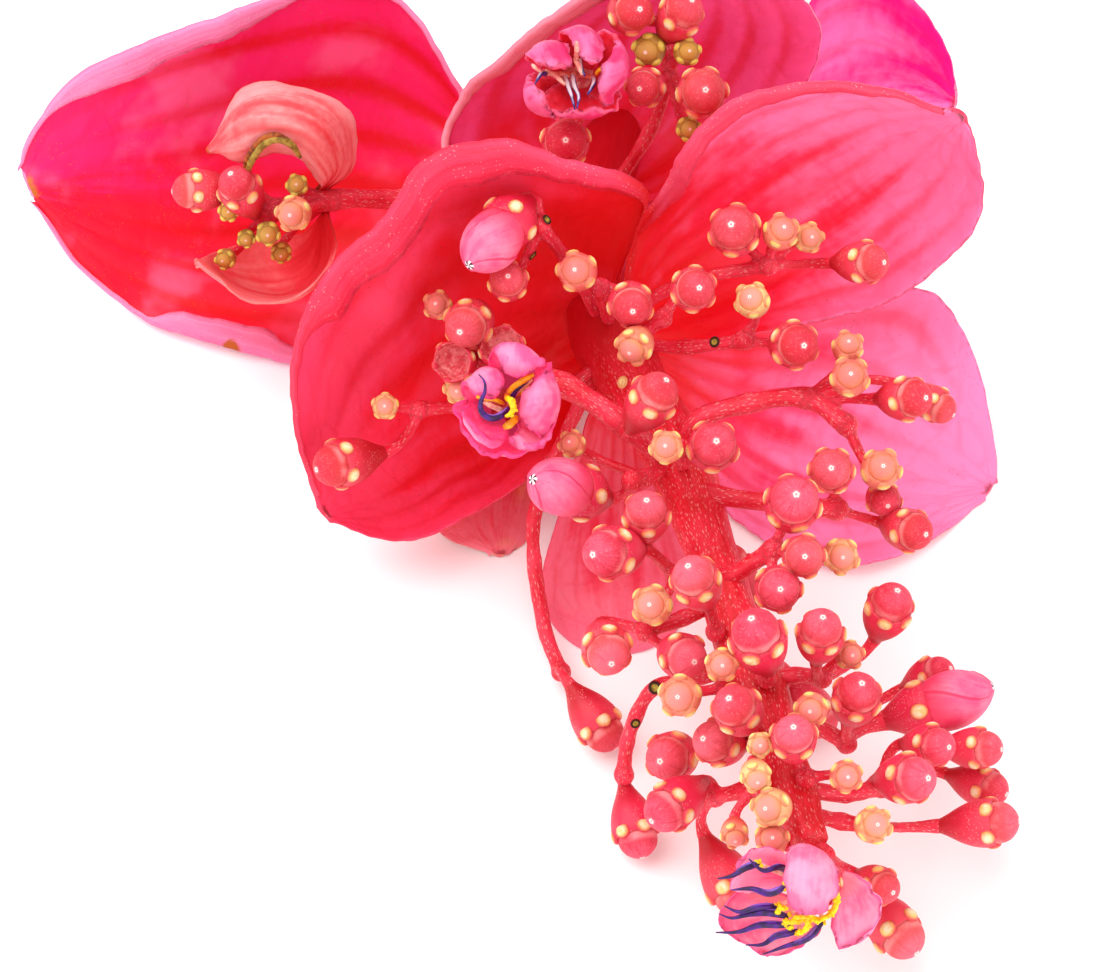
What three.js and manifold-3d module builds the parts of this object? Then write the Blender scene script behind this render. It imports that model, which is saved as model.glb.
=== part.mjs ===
// Medinilla flower cluster, cut and lying on a surface.
//
// A coral-red stem carries two whorls of big cupped bracts and, below them, many
// branchlets of round buds, a few of them open. Every bract, petal and branchlet is
// a closed solid of its own. Millimetres, +Z up, the stem lies along Y with its cut
// end at +Y and its growing tip at -Y.

import * as THREE from 'three';
import { mergeVertices } from 'three/addons/utils/BufferGeometryUtils.js';
import Module from 'manifold-3d';

const wasm = await Module();
wasm.setup();

// ---------------------------------------------------------------------------
// Driving dimensions, mm
// ---------------------------------------------------------------------------

// The layout sheet: places are [across, down, depth] in mm, seen from an eye that
// looks down on the lying cluster. Depth counts from the sheet towards the eye.
const EYE_DISTANCE = 700;
const EYE_ELEVATION = THREE.MathUtils.degToRad(50);
const SHEET_MIDDLE = { across: 88.5, down: 78 };
// where the sheet's middle lies in the part's own frame
const SHEET_ORIGIN = new THREE.Vector3(7.75, -39.5, 34);

const CLEARANCE = 0.3;          // gap between pieces that grow against each other
const BRACT_THICKNESS = 1.1;
const SIDE_BRACT_THICKNESS = 0.9;
const PETAL_THICKNESS = 0.8;
const TIP_SHARE = 0.975;        // share of their length at which a blade's edges end

const PEDUNCLE_RADIUS = 1.25;   // stalk of a branchlet
const PEDICEL_RADIUS = 0.9;     // stalk of one bud
const KNOT_RADIUS = 1.9;        // swollen fork of a branchlet
const FILAMENT_RADIUS = 0.45;
const STAMEN_HUB_RADIUS = 1.3;  // where the filaments meet

const STALK_SIDES = 6;
const STEM_SIDES = 10;

// Bud shapes: stations along the bud in bud radii, counted back from the middle of
// the round end, as [distance, radius]. The last station is the apex.
const BUD_SHAPES = {
  dome: [[-2.7, 0.3], [-1.6, 0.9], [-0.5, 1.2], [0.45, 0.9], [1.0, 0]],
  young: [[-1.9, 0.35], [-1.0, 0.95], [0.1, 1.1], [0.8, 0]],
  lilac: [[-3.0, 0.3], [-2.0, 0.9], [-0.4, 1.05], [0.55, 0.8], [1.15, 0]],
  cup: [[-2.0, 0.3], [-1.0, 0.9], [0.2, 1.05], [0.25, 0]],
};

const COLOURS = {
  stem: '#d8252f',
  branchlet: '#e8404a',
  bract: '#f0244f',
  bractPale: '#f55b8e',
  sideBract: '#e84a5a',
  petal: '#f58abf',
  stamen: '#3d1d78',
};

// ---------------------------------------------------------------------------
// The layout sheet and the part's own frame
// ---------------------------------------------------------------------------

const SIN = Math.sin(EYE_ELEVATION);
const COS = Math.cos(EYE_ELEVATION);

// a direction given as right, up and towards the eye
function direction(right, up, toEye) {
  return new THREE.Vector3(right, up * SIN - toEye * COS, up * COS + toEye * SIN);
}

// a place on the sheet, in the part's own frame
function place([across, down, depth]) {
  const scale = (EYE_DISTANCE - depth) / EYE_DISTANCE;
  const right = (across - SHEET_MIDDLE.across) * scale;
  const up = (SHEET_MIDDLE.down - down) * scale;
  return direction(right, up, depth).add(SHEET_ORIGIN);
}

// ---------------------------------------------------------------------------
// Solids
// ---------------------------------------------------------------------------

function signedVolume(position, index) {
  const a = new THREE.Vector3();
  const b = new THREE.Vector3();
  const c = new THREE.Vector3();
  let volume = 0;
  for (let i = 0; i < index.length; i += 3) {
    a.fromBufferAttribute(position, index[i]);
    b.fromBufferAttribute(position, index[i + 1]);
    c.fromBufferAttribute(position, index[i + 2]);
    volume += a.dot(b.cross(c)) / 6;
  }
  return volume;
}

// a closed three.js geometry as a solid, its faces turned outwards
function solid(geometry) {
  geometry.deleteAttribute('normal');
  geometry.deleteAttribute('uv');
  const merged = mergeVertices(geometry, 1e-4);
  const index = Uint32Array.from(merged.index.array);
  if (signedVolume(merged.attributes.position, index) < 0) {
    for (let i = 0; i < index.length; i += 3) {
      [index[i], index[i + 1]] = [index[i + 1], index[i]];
    }
  }
  const vertices = Float32Array.from(merged.attributes.position.array);
  return new wasm.Manifold(new wasm.Mesh({ numProp: 3, vertProperties: vertices, triVerts: index }));
}

function joined(solids) {
  return solids.reduce((sum, next) => sum.add(next));
}

// the biggest connected body of a solid
function biggest(body) {
  return body.decompose().reduce((best, next) => (next.volume() > best.volume() ? next : best));
}

function mesh(name, body, colour) {
  const { vertProperties, triVerts } = body.getMesh();
  const geometry = new THREE.BufferGeometry();
  geometry.setAttribute('position', new THREE.BufferAttribute(vertProperties, 3));
  geometry.setIndex(new THREE.BufferAttribute(triVerts, 1));
  geometry.computeVertexNormals();
  const material = new THREE.MeshStandardMaterial({ color: colour, roughness: 0.5, metalness: 0 });
  const result = new THREE.Mesh(geometry, material);
  result.name = name;
  return result;
}

// A turned shape bent along its stations: each station has a point and a radius.
// Stations with radius 0 are poles; an end that isn't a pole is closed flat.
function turned(stations, sides) {
  const profile = stations.map((station, i) => new THREE.Vector2(station.radius, i));
  if (stations[0].radius > 0) profile.unshift(new THREE.Vector2(0, 0));
  if (stations.at(-1).radius > 0) profile.push(new THREE.Vector2(0, stations.length - 1));
  const geometry = new THREE.LatheGeometry(profile, sides);

  const frames = [];
  let side = new THREE.Vector3(0.31, 0.17, 0.94);
  stations.forEach((station, i) => {
    const before = stations[Math.max(i - 1, 0)].point;
    const after = stations[Math.min(i + 1, stations.length - 1)].point;
    const along = new THREE.Vector3().subVectors(after, before).normalize();
    side = side.clone().addScaledVector(along, -side.dot(along)).normalize();
    frames.push({ point: station.point, side, across: new THREE.Vector3().crossVectors(along, side) });
  });

  const position = geometry.attributes.position;
  for (let i = 0; i < position.count; i += 1) {
    const frame = frames[Math.round(position.getY(i))];
    const moved = frame.point.clone()
      .addScaledVector(frame.side, position.getX(i))
      .addScaledVector(frame.across, position.getZ(i));
    position.setXYZ(i, moved.x, moved.y, moved.z);
  }
  return solid(geometry);
}

// ---------------------------------------------------------------------------
// Stems
// ---------------------------------------------------------------------------

// a round stem through places, with a radius at each of them
function stem(places, radii, { sides, steps, grow = 0 }) {
  const curve = new THREE.CatmullRomCurve3(places.map(place), false, 'centripetal');
  const thickness = new THREE.SplineCurve(radii.map((radius, i) => new THREE.Vector2(i, radius)));
  const stations = [];
  for (let i = 0; i <= steps; i += 1) {
    const share = i / steps;
    stations.push({ point: curve.getPoint(share), radius: thickness.getPoint(share).y + grow });
  }
  return turned(stations, sides);
}

// From the cut end, past the two whorls of bracts, to the growing tip. The bulges are
// the nodes that the bracts and the branchlets grow from.
const MAIN_STEM = {
  places: [
    [108, -12.5, -127.5], [107, -5.5, -108], [103, 9, -84], [97.5, 23.5, -64],
    [94, 35, -50], [95.5, 45, -39], [97.5, 54, -29], [103, 64, -20],
    [108.5, 73.5, -12], [113, 86, -1], [117, 98, 9], [121, 110, 19],
    [124, 119, 27], [126.5, 127, 34], [130, 135, 40],
  ],
  radii: [5.0, 4.8, 4.8, 5.4, 7.2, 5.6, 6.8, 5.0, 5.6, 4.2, 4.1, 5.2, 3.6, 4.4, 2.4],
};

function mainStem(grow = 0) {
  return stem(MAIN_STEM.places, MAIN_STEM.radii, { sides: STEM_SIDES, steps: 36, grow });
}

// ---------------------------------------------------------------------------
// Bracts and petals
// ---------------------------------------------------------------------------

// A blade between two edges and a midrib, each a list of places from base to tip.
// Across the blade every section is a parabola, so that the midrib sets the cup.
// A blade that reaches the surface lies flat on it.
// Grown copies are thicker and wider by the same amount on every side.
function blade({ left, middle, right, thickness, across = 6, along = 10 }, grow = 0) {
  const thick = thickness + 2 * grow;
  const edges = [left, middle, right].map(
    (places) => new THREE.CatmullRomCurve3(places.map(place), false, 'centripetal'),
  );

  function surface(share, side) {
    // the midrib runs ahead of the edges, so that the blade's end is rounded
    const [a, m, b] = [share, share / TIP_SHARE, share]
      .map((at, i) => edges[i].getPointAt(Math.min(at, 1)));
    const half = new THREE.Vector3().subVectors(b, a).multiplyScalar(side / 2);
    const bow = new THREE.Vector3().addVectors(a, b).multiplyScalar(0.5).sub(m);
    const point = m.clone().add(half).addScaledVector(bow, side * side);
    point.z = Math.max(point.z, thickness / 2);
    return point;
  }

  function normal(share, side) {
    const step = 0.01;
    const ahead = surface(Math.min(share + step, TIP_SHARE), side);
    const behind = surface(Math.max(share - step, 0), side);
    const lengthways = ahead.sub(behind);
    const crossways = surface(share, side + step).sub(surface(share, side - step));
    return lengthways.cross(crossways).normalize();
  }

  const geometry = new THREE.BoxGeometry(2, 1, 1, across, along, 1);
  const position = geometry.attributes.position;
  for (let i = 0; i < position.count; i += 1) {
    const share = (position.getY(i) + 0.5) * TIP_SHARE;
    const halfWidth = edges[0].getPointAt(share).distanceTo(edges[2].getPointAt(share)) / 2;
    const side = position.getX(i) * (1 + grow / halfWidth);
    const offset = position.getZ(i) * thick;
    const point = surface(share, side).addScaledVector(normal(share, side), offset);
    position.setXYZ(i, point.x, point.y, Math.max(point.z, -grow));
  }
  return solid(geometry);
}

// Whorl B, around the buds: the front bract with the high rim, the two on the right
// and the one below. Whorl A, nearer to the cut end: top, top right, left and under.
const BRACTS = {
  front_bract: {
    colour: COLOURS.bract,
    left: [
      [98, 46, -26], [101.5, 38, -16], [103, 30, -6], [90, 25, 2], [80, 22.5, 6], [72, 23.5, 8],
      [66.5, 27, 7],
      [61, 36, 4], [54, 42, 2], [49, 50, 0], [46.5, 59, -4], [46.5, 65, -8], [49, 77, -15],
      [52, 82.5, -20],
    ],
    middle: [[97, 52, -30], [88, 56, -38], [77, 62, -39], [67, 69, -35], [58, 77, -27], [52, 82.5, -20]],
    right: [
      [98, 58, -31], [92, 68, -31], [83, 78, -27], [76, 82, -24], [69, 85.5, -22], [62, 86, -21],
      [56, 84.5, -20],
      [52, 82.5, -20],
    ],
  },
  upper_right_bract: {
    colour: COLOURS.bract,
    left: [
      [99.5, 47.5, -29], [101.5, 38, -27], [106, 30, -16], [108.5, 24, -7], [117.5, 16, -1],
      [125, 13.5, 0], [133, 13, -3],
      [141, 14, -6], [149, 16.5, -10], [154, 18, -12],
    ],
    middle: [
      [100, 50, -30], [108, 44, -42], [117, 38, -46], [128, 31, -42], [142, 23, -28],
      [154, 18, -12],
    ],
    right: [
      [101.5, 56, -32], [110, 56, -37], [121, 53.5, -39.5], [134, 50, -40], [142, 48.5, -38],
      [150, 43, -32], [156, 36.5, -26], [157.5, 30, -20], [156.5, 24, -15], [154, 18, -12],
    ],
  },
  right_bract: {
    colour: COLOURS.bractPale,
    left: [
      [103, 54, -34], [122, 51, -50], [138, 46.5, -56], [148, 46, -53], [154, 53, -50], [158, 65, -47],
      [159.5, 75, -45], [158.3, 79, -44],
    ],
    middle: [[102, 56, -36], [118, 67, -49], [132, 73, -47], [146, 77, -44], [158.3, 79, -44]],
    right: [
      [101, 59, -36], [110, 72, -42], [117, 83, -39], [128, 90, -33], [138, 90.5, -30], [150, 86, -36],
      [158.3, 79, -44],
    ],
  },
  bottom_bract: {
    colour: COLOURS.bractPale,
    left: [
      [97, 58, -36], [93, 70, -41], [89, 83, -35], [86.5, 95, -28], [89, 101, -24.5],
      [94, 105, -22], [99, 105.5, -21.5],
    ],
    middle: [[98.5, 59, -37], [98, 72, -44], [98, 86, -36], [98.5, 98, -27], [99, 105.5, -21.5]],
    right: [
      [100, 59, -37], [105, 72, -44], [109, 85, -38], [110.5, 95, -30], [108.5, 101, -25],
      [104, 104.5, -22.5],
      [99, 105.5, -21.5],
    ],
  },
  top_bract: {
    colour: COLOURS.bract,
    left: [
      [92, 34, -51], [80, 30, -53], [71, 24, -52], [75, 14.5, -46], [81.5, 9.5, -40],
      [89, 3.5, -34], [98, -2, -28],
      [105, -5.5, -25], [113, -7, -24],
    ],
    middle: [[94.5, 33, -52], [99, 22, -64], [104, 12, -60], [109, 2, -44], [113, -7, -24]],
    right: [
      [97, 33, -51], [110, 30, -57], [124, 21, -54], [130, 12, -48], [131.5, 6, -42],
      [128, -1, -34], [122, -5, -28],
      [113, -7, -24],
    ],
  },
  top_right_bract: {
    colour: COLOURS.bractPale,
    left: [
      [97, 35, -53], [114, 27, -67], [126, 11, -67], [132, -3, -60], [140, -5, -56], [147.5, 1.5, -56],
      [152, 9.5, -58], [153, 16.5, -60],
    ],
    middle: [[98, 36.5, -53], [116, 30, -75], [134, 19, -73], [146, 15.5, -66], [153, 16.5, -60]],
    right: [[98, 38.5, -53], [117, 38, -67], [136, 31.5, -70], [147, 24, -65], [153, 16.5, -60]],
  },
  left_bract: {
    colour: COLOURS.bract,
    left: [
      [91, 33, -53], [82, 24, -62], [74, 14, -61], [69, 5.5, -57], [62, -0.5, -54], [53, -3, -52],
      [43, 0, -52],
      [33.5, 3.5, -51], [24, 7, -50], [14.5, 11, -48], [8, 17.5, -47], [3.5, 25.5, -47], [4.5, 30, -48],
    ],
    middle: [[91, 36, -53], [70, 32, -77], [48, 30.5, -77], [27, 30.5, -67], [4.5, 30, -48]],
    right: [
      [91.5, 39, -54], [80, 46, -62], [67, 55, -60], [55, 60, -59], [46.5, 58.5, -61],
      [37, 56, -63], [29, 53.5, -65],
      [21, 49.5, -67], [13, 43, -62], [8, 36, -54], [4.5, 30, -48],
    ],
  },
  under_bract: {
    colour: COLOURS.bractPale,
    left: [[93, 38.5, -55], [83, 54, -55], [72, 67, -50], [68.5, 78, -42], [71, 86, -36], [80, 89, -34]],
    middle: [[94.5, 39, -56], [88, 58, -53], [83, 70, -47], [80, 81, -39], [80, 89, -34]],
    right: [[96, 39, -56], [95, 57, -53], [90, 70, -48], [86, 80, -42], [84, 87, -36], [80, 89, -34]],
  },
};

const SIDE_BRACTS = {
  side_upper_bract: {
    left: [
      [51.5, 31, -48], [56, 26, -46], [56, 18.5, -43], [48, 14, -40], [39, 15, -40],
      [33.5, 24, -42],
    ],
    middle: [[51, 30.5, -47], [53.5, 26, -39], [49.5, 20, -31], [41.5, 18.5, -31], [33.5, 24, -42]],
    right: [
      [50.5, 30.5, -46], [51, 29, -41], [48, 25.5, -39], [44, 24, -38], [38.5, 25.5, -39],
      [33.5, 24, -42],
    ],
  },
  side_lower_bract: {
    left: [
      [52.5, 33.5, -48], [53.5, 41, -41], [48, 47.5, -37], [40, 48.5, -37], [34, 45, -39],
      [31, 42, -42],
    ],
    middle: [[52, 34, -49], [50.5, 43, -54], [45, 46.5, -57], [37.5, 45.5, -53], [31, 42, -42]],
    right: [[51.5, 34, -49], [48, 37.5, -56], [41.5, 38.5, -59], [35, 40, -55], [31, 42, -42]],
  },
};

// ---------------------------------------------------------------------------
// Branchlets
// ---------------------------------------------------------------------------

// One bud: its round end's middle on the sheet, its radius and how far its apex is
// seen off that middle, to the right and down, which gives the way it faces.
function bud(across, down, depth, radius, apexRight = 0, apexDown = 0, shape = 'dome', from = -1) {
  const lean = Math.min(Math.hypot(apexRight, apexDown) / radius, 0.98);
  const length = Math.hypot(apexRight, apexDown) || 1;
  const facing = direction(
    (apexRight / length) * lean,
    (-apexDown / length) * lean,
    Math.sqrt(1 - lean * lean),
  );
  return { middle: place([across, down, depth]), facing, radius, shape, from };
}

// One bud with its own stalk, as one turned shape bent along its way
function stalkedBud({ middle, facing, radius, shape }, start, grow) {
  const outline = BUD_SHAPES[shape];
  const neck = middle.clone().addScaledVector(facing, outline[0][0] * radius);
  const reach = start.distanceTo(neck);
  const lead = neck.clone().addScaledVector(facing, -0.45 * reach);
  const way = new THREE.QuadraticBezierCurve3(start, lead, neck);
  const stations = [0, 0.55].map((share) => ({
    point: way.getPoint(share),
    radius: PEDICEL_RADIUS + grow,
  }));
  outline.forEach(([distance, girth]) => {
    const swell = girth > 0 ? grow : 0;
    stations.push({
      point: middle.clone().addScaledVector(facing, distance * radius + (girth > 0 ? 0 : grow)),
      radius: Math.max(girth * radius, girth > 0 ? PEDICEL_RADIUS : 0) + swell,
    });
  });
  return turned(stations, STALK_SIDES);
}

// A branchlet: a stalk that starts inside the main stem, a knot where it forks, and
// its buds. A bud's "from" says which place of the stalk it grows from.
function branchlet({ stalk, thick = PEDUNCLE_RADIUS, buds }, grow = 0) {
  const points = stalk.map(place);
  const parts = [stem(stalk, stalk.map(() => thick), { sides: STALK_SIDES, steps: stalk.length, grow })];
  const forks = new Set(buds.map((one) => (one.from < 0 ? points.length - 1 : one.from)));
  forks.forEach((fork) => {
    const knot = new THREE.IcosahedronGeometry(KNOT_RADIUS + grow, 0);
    knot.translate(...points[fork].toArray());
    parts.push(solid(knot));
  });
  buds.forEach((one) => {
    const start = points[one.from < 0 ? points.length - 1 : one.from];
    parts.push(stalkedBud(one, start, grow));
  });
  return joined(parts);
}

const BRANCHLETS = {
  side_branch: {
    stalk: [[93, 35.5, -51], [75, 33, -59.5], [64, 32, -56.5], [53, 32, -47], [44, 33.5, -45]],
    thick: 1.8,
    buds: [
      bud(30.5, 30.5, -40, 3.3, -3.2, 0.2),
      bud(38, 29.6, -35, 3.5, -1, -1.8),
      bud(36.6, 33.8, -38, 1.8, 0, 0.3, 'young'),
      bud(46.9, 34.2, -33, 3.0, -0.6, 0.5, 'young', 3),
      bud(47.5, 29.6, -38, 1.9, 0, 0, 'young', 3),
      bud(42.9, 37.4, -40, 2.1, 0, 0.5, 'young'),
      bud(39.4, 38.2, -42, 1.6, 0, 0.5, 'young'),
      bud(45, 40.5, -46, 1.8, 0, 0.8, 'young', 3),
      bud(36, 41.5, -46, 1.8, -0.5, 0.5, 'young'),
    ],
  },
  top_branchlet: {
    stalk: [[96, 33, -46], [104, 21, -40], [107, 11.5, -36], [107.5, 3.5, -33]],
    buds: [
      bud(101.3, 1.8, -22, 3.5, 1.1, 0),
      bud(109.4, 1.8, -22, 3.5, 1.3, -1.6),
      bud(103.8, 8, -26, 2.8, -0.8, 0.8, 'young', 2),
      bud(110, 8.3, -24, 2.3, 0.4, 0, 'young', 2),
      bud(103, 14, -22, 3.1, -0.8, 0.5, 'dome', 2),
      bud(112.5, 14.7, -18, 3.9, 0.3, 0, 'dome', 2),
      bud(110.2, 20.6, -24, 2.1, 0.2, 0.3, 'young', 2),
    ],
  },
  top_flower_branchlet: {
    stalk: [[93, 34, -46], [91.5, 26, -38], [92, 19, -33]],
    buds: [bud(90.5, 22.7, -22, 3.8, 0, 0, 'dome', 1), bud(92, 11.8, -20.4, 3.6, 0, 0, 'cup')],
  },
  lilac_branchlet: {
    stalk: [[96, 51, -26], [91, 42, -10], [86.5, 36, -2]],
    buds: [bud(77.8, 39.5, 6, 4.6, -2.4, 2.8, 'lilac'), bud(81.3, 44.8, 0, 3.0, 0, -0.5)],
  },
  inner_branchlet: {
    stalk: [[97.5, 52, -25], [96.5, 48, -15], [96, 46, -9]],
    buds: [bud(92.3, 43.4, 0, 3.2, -0.5, -0.2), bud(101, 49, 2, 3.4, 0.2, 1)],
  },
  fork_branchlet: {
    stalk: [[100, 54, -25], [104, 52.5, -14], [106, 51, -8]],
    buds: [bud(101.4, 55.5, 4, 3.0, -1, 1.4, 'young'), bud(111.2, 46.2, 4, 3.4, 0.6, 0)],
  },
  left_flower_branchlet: {
    stalk: [[106, 73, -9], [100, 68, 0], [91, 62, -3], [83, 59, -10], [75, 57.5, -14]],
    thick: 2.0,
    buds: [
      bud(70, 48.8, -10, 2.4, -0.4, -0.2, 'young'),
      bud(74.6, 52.2, -2, 3.7, -1, 1.1),
      bud(72.6, 57.8, -4, 3.4, -1.2, 0.4, 'cup'),
      bud(73.3, 62.2, -7, 2.4, -0.3, 0.6, 'young'),
      bud(80.3, 55.6, -3, 3.6, 0, -1, 'cup', 3),
      bud(81.4, 65.2, 1.1, 3.8, 0, 0, 'cup', 3),
      bud(105, 63, 12, 3.7, 1.6, -2.2, 'dome', 1),
    ],
  },
  far_left_branchlet: {
    stalk: [[98, 57, -26], [90, 62, -23], [78, 64.5, -21], [67, 65.5, -18]],
    buds: [bud(61.6, 65, -9, 2.2, 0, 0, 'young'), bud(53.6, 74.4, -8, 3.8, -3, 0.8)],
  },
  lower_lilac_branchlet: {
    stalk: [[106.5, 75, -8], [103, 76.5, 0], [101, 77, 4]],
    buds: [bud(88.6, 77.6, 10, 4.6, -3, -0.8, 'lilac'), bud(91.5, 71, 3, 2.2, -0.6, -0.4, 'young', 1)],
  },
  middle_branchlet: {
    stalk: [[109, 75, -8], [109.5, 73.5, 1], [109.5, 73, 4]],
    buds: [
      bud(106.6, 71.5, 17, 2.7, -0.3, -0.2, 'young'),
      bud(114.2, 71.2, 14, 3.8, 0.3, -0.6),
    ],
  },
  upper_right_branchlet: {
    stalk: [[99, 51, -26], [110, 45, -18], [123, 42.5, -14]],
    buds: [
      bud(117.4, 36.6, -4, 3.9, -0.6, -0.5),
      bud(125, 37, -5, 2.9, 0.5, -0.8, 'young'),
      bud(129.4, 38, -10, 2.5, 0.6, 0, 'young'),
      bud(139.2, 42, -6, 3.3, 2.2, 0.1),
    ],
  },
  right_branchlet: {
    stalk: [[101, 55, -26], [110, 55.5, -16], [119, 54.5, -11]],
    buds: [bud(120.3, 48, -2, 2.9, -0.6, -0.6, 'young'), bud(127.5, 55.2, 1, 3.6, 1.0, 0.2)],
  },
  long_right_branchlet: {
    stalk: [[108, 72, -12], [112, 67, -7], [120, 64.5, -7], [129, 63.7, -7], [135.5, 68, -6]],
    thick: 1.7,
    buds: [
      bud(136, 60.3, 3, 3.2, 0, -0.6, 'young', 3),
      bud(135.7, 55.4, -3, 2.6, 0, -1, 'young', 3),
      bud(146, 63.7, 4, 3.4, 2.0, 0, 'dome', 3),
      bud(151, 65.5, -5, 3.4, 2.4, 1.9, 'dome', 3),
      bud(141.4, 74, 4, 3.2, 0.2, -0.6),
      bud(141.6, 79.6, 0, 3.2, 0.3, 1.1, 'young'),
    ],
  },
  low_right_branchlet: {
    stalk: [[110, 77.5, -6], [115, 79.3, -3], [124.5, 80.5, -2], [134, 81.5, -4]],
    thick: 1.7,
    buds: [bud(133, 75.2, 8, 3.4, -0.2, -0.3), bud(146.2, 85, 3, 3.3, 1.8, 0.5)],
  },
  right_cluster_branchlet: {
    stalk: [[113, 91, 3], [117, 92, 9], [123.5, 88, 12]],
    thick: 1.6,
    buds: [
      bud(127, 80.2, 24, 4.1, 0.2, -1.1),
      bud(128.6, 89, 27, 3.2, 0, 0),
      bud(134.6, 89, 19, 2.6, 0.2, 0.2, 'young'),
      bud(124.6, 94.2, 27, 3.5, 0.1, 0),
    ],
  },
  middle_left_branchlet: {
    stalk: [[113, 91, 3], [108, 92, 9]],
    thick: 1.5,
    buds: [
      bud(103.4, 81.8, 16, 3.5, 0, -1.8),
      bud(97, 88.5, 20, 4.0, -2.2, 0.2),
      bud(104.3, 96.8, 22, 3.2, -0.6, -0.2, 'young'),
    ],
  },
  rising_branchlet: {
    stalk: [[117, 103, 13], [114.5, 101, 17]],
    buds: [bud(111, 92.3, 30, 3.6, -1, -1.8)],
  },
  low_left_branchlet: {
    stalk: [[116, 96, 7], [109, 99, 10], [103, 101, 12]],
    thick: 1.4,
    buds: [bud(97.3, 104.5, 22, 3.7, 0.5, 1.6), bud(109.8, 105.3, 24, 3.5, 1.2, 0.5)],
  },
  hanging_branchlet: {
    stalk: [
      [97, 56, -27], [93, 64, -25], [89, 73, -24], [85.5, 82.5, -24], [85.5, 90, -23], [86.3, 96, -21],
      [87.5, 102, -18], [89.8, 107.5, -14],
    ],
    thick: 1.2,
    buds: [bud(96.5, 117, -4.5, 3.6, 2.1, 2.9)],
  },
  low_hanging_branchlet: {
    stalk: [
      [119, 107, 15], [112, 108.5, 12], [104.8, 110, 9], [101.8, 114.5, 7], [100.3, 119, 6], [99.8, 124, 6],
    ],
    thick: 1.2,
    buds: [bud(102, 134, 8, 3.5, 0.8, 3.2)],
  },
  centre_branchlet: {
    stalk: [[120, 108, 18], [116, 110, 23]],
    thick: 1.4,
    buds: [
      bud(115.5, 106.4, 36, 2.6, 0, 0, 'young'),
      bud(108.8, 111.4, 34, 3.2, -0.6, 0),
      bud(117.6, 113, 40, 3.6, -1.1, -1.4),
    ],
  },
  lower_left_branchlet: {
    stalk: [[121, 112, 18], [117, 117.5, 19]],
    thick: 1.4,
    buds: [bud(106.9, 121.3, 18, 3.8, -1.4, 0.3), bud(114.2, 118.6, 29, 3.5, -1.8, -0.6)],
  },
  crown_branchlet: {
    stalk: [[120.5, 109, 21], [122.5, 108.5, 26]],
    thick: 1.4,
    buds: [bud(121, 101.3, 39, 4.1, -0.9, -2.4)],
  },
  rear_branchlet: {
    stalk: [[121, 109, 20], [127, 108, 20], [131.5, 108.5, 17]],
    thick: 1.4,
    buds: [
      bud(131.4, 100.7, 32, 3.5, 0.1, -2),
      bud(136, 104.8, 26, 2.3, 0.4, 0, 'young'),
      bud(142.6, 96.6, 18, 3.6, 0.8, -2.2),
    ],
  },
  lilac_side_branchlet: {
    stalk: [[122, 111, 20], [129, 115, 20], [135.5, 119, 18]],
    thick: 1.5,
    buds: [
      bud(129.8, 113.5, 40, 2.6, -0.4, 0.3, 'young', 1),
      bud(137.3, 111, 32, 3.6, 0.4, -1.8),
      bud(154, 111.4, 14, 4.6, 4.3, -1.4, 'lilac'),
      bud(150, 107.8, 6, 3.0, 2, -1),
    ],
  },
  lower_crown_branchlet: {
    stalk: [[125, 123, 30], [129, 124.5, 38]],
    thick: 1.3,
    buds: [bud(127, 117.6, 47, 3.3, -0.2, -1.4), bud(135.4, 124.2, 47, 2.5, 0.2, 0, 'young')],
  },
  young_branchlet: {
    stalk: [[125.5, 124.5, 32], [121.5, 126, 36]],
    thick: 1.2,
    buds: [
      bud(121, 124.3, 48, 2.4, 0.2, 1, 'young'),
      bud(123.3, 129.2, 48, 3.0, -1.2, 0, 'young'),
      bud(121.6, 119.2, 44, 2.0, 0, 0, 'young'),
      bud(117.6, 133.6, 40, 2.2, 0, 1.2, 'young'),
    ],
  },
  right_fan_branchlet: {
    stalk: [[127, 126, 33], [135, 127, 31], [141, 126, 26]],
    thick: 1.5,
    buds: [
      bud(146.2, 124.6, 38, 3.7, 2, -0.3),
      bud(149.8, 119.4, 30, 3.2, 1.8, 0),
      bud(157.5, 119.8, 20, 3.1, 2.6, 0),
      bud(158.4, 126.2, 16, 3.1, 2.5, 0.8),
    ],
  },
  low_fan_branchlet: {
    stalk: [[128, 130, 36], [135, 131.5, 33], [140.5, 132.3, 30]],
    thick: 1.4,
    buds: [bud(159.5, 131.6, 25, 3.6, 3.4, -0.3), bud(139.8, 132, 46, 2.8, 0.6, -0.3, 'young')],
  },
  low_spread_branchlet: {
    stalk: [[125.5, 126, 31], [119, 126.5, 25], [114.5, 127.5, 20]],
    thick: 1.4,
    buds: [bud(106.6, 129.6, 27, 3.7, -2.4, 1.6), bud(114.8, 142, 18, 3.8, 1.0, 3.2)],
  },
  tip_branchlet: {
    stalk: [[129.5, 133.5, 38], [132, 137, 38]],
    thick: 1.5,
    buds: [
      bud(123.5, 134.2, 46, 2.6, 0, -0.4, 'young'),
      bud(141.3, 142, 36, 2.8, 1.4, 0.6),
      bud(144.3, 149.8, 28, 3.8, 2.2, 2.5),
      bud(131, 141.5, 45, 3.4, -0.8, 1.4, 'cup'),
    ],
  },
  under_branchlet: {
    stalk: [[121, 110, 16], [123, 109, 6], [125, 109, 0]],
    thick: 1.4,
    buds: [
      bud(131, 115, -7, 3.4, 2.4, 3.6),
      bud(117, 90, -13, 3.2, -1.5, -3),
      bud(121, 117, -5, 3.2, -1.6, 3),
    ],
  },
};

// ---------------------------------------------------------------------------
// Open flowers
// ---------------------------------------------------------------------------

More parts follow.
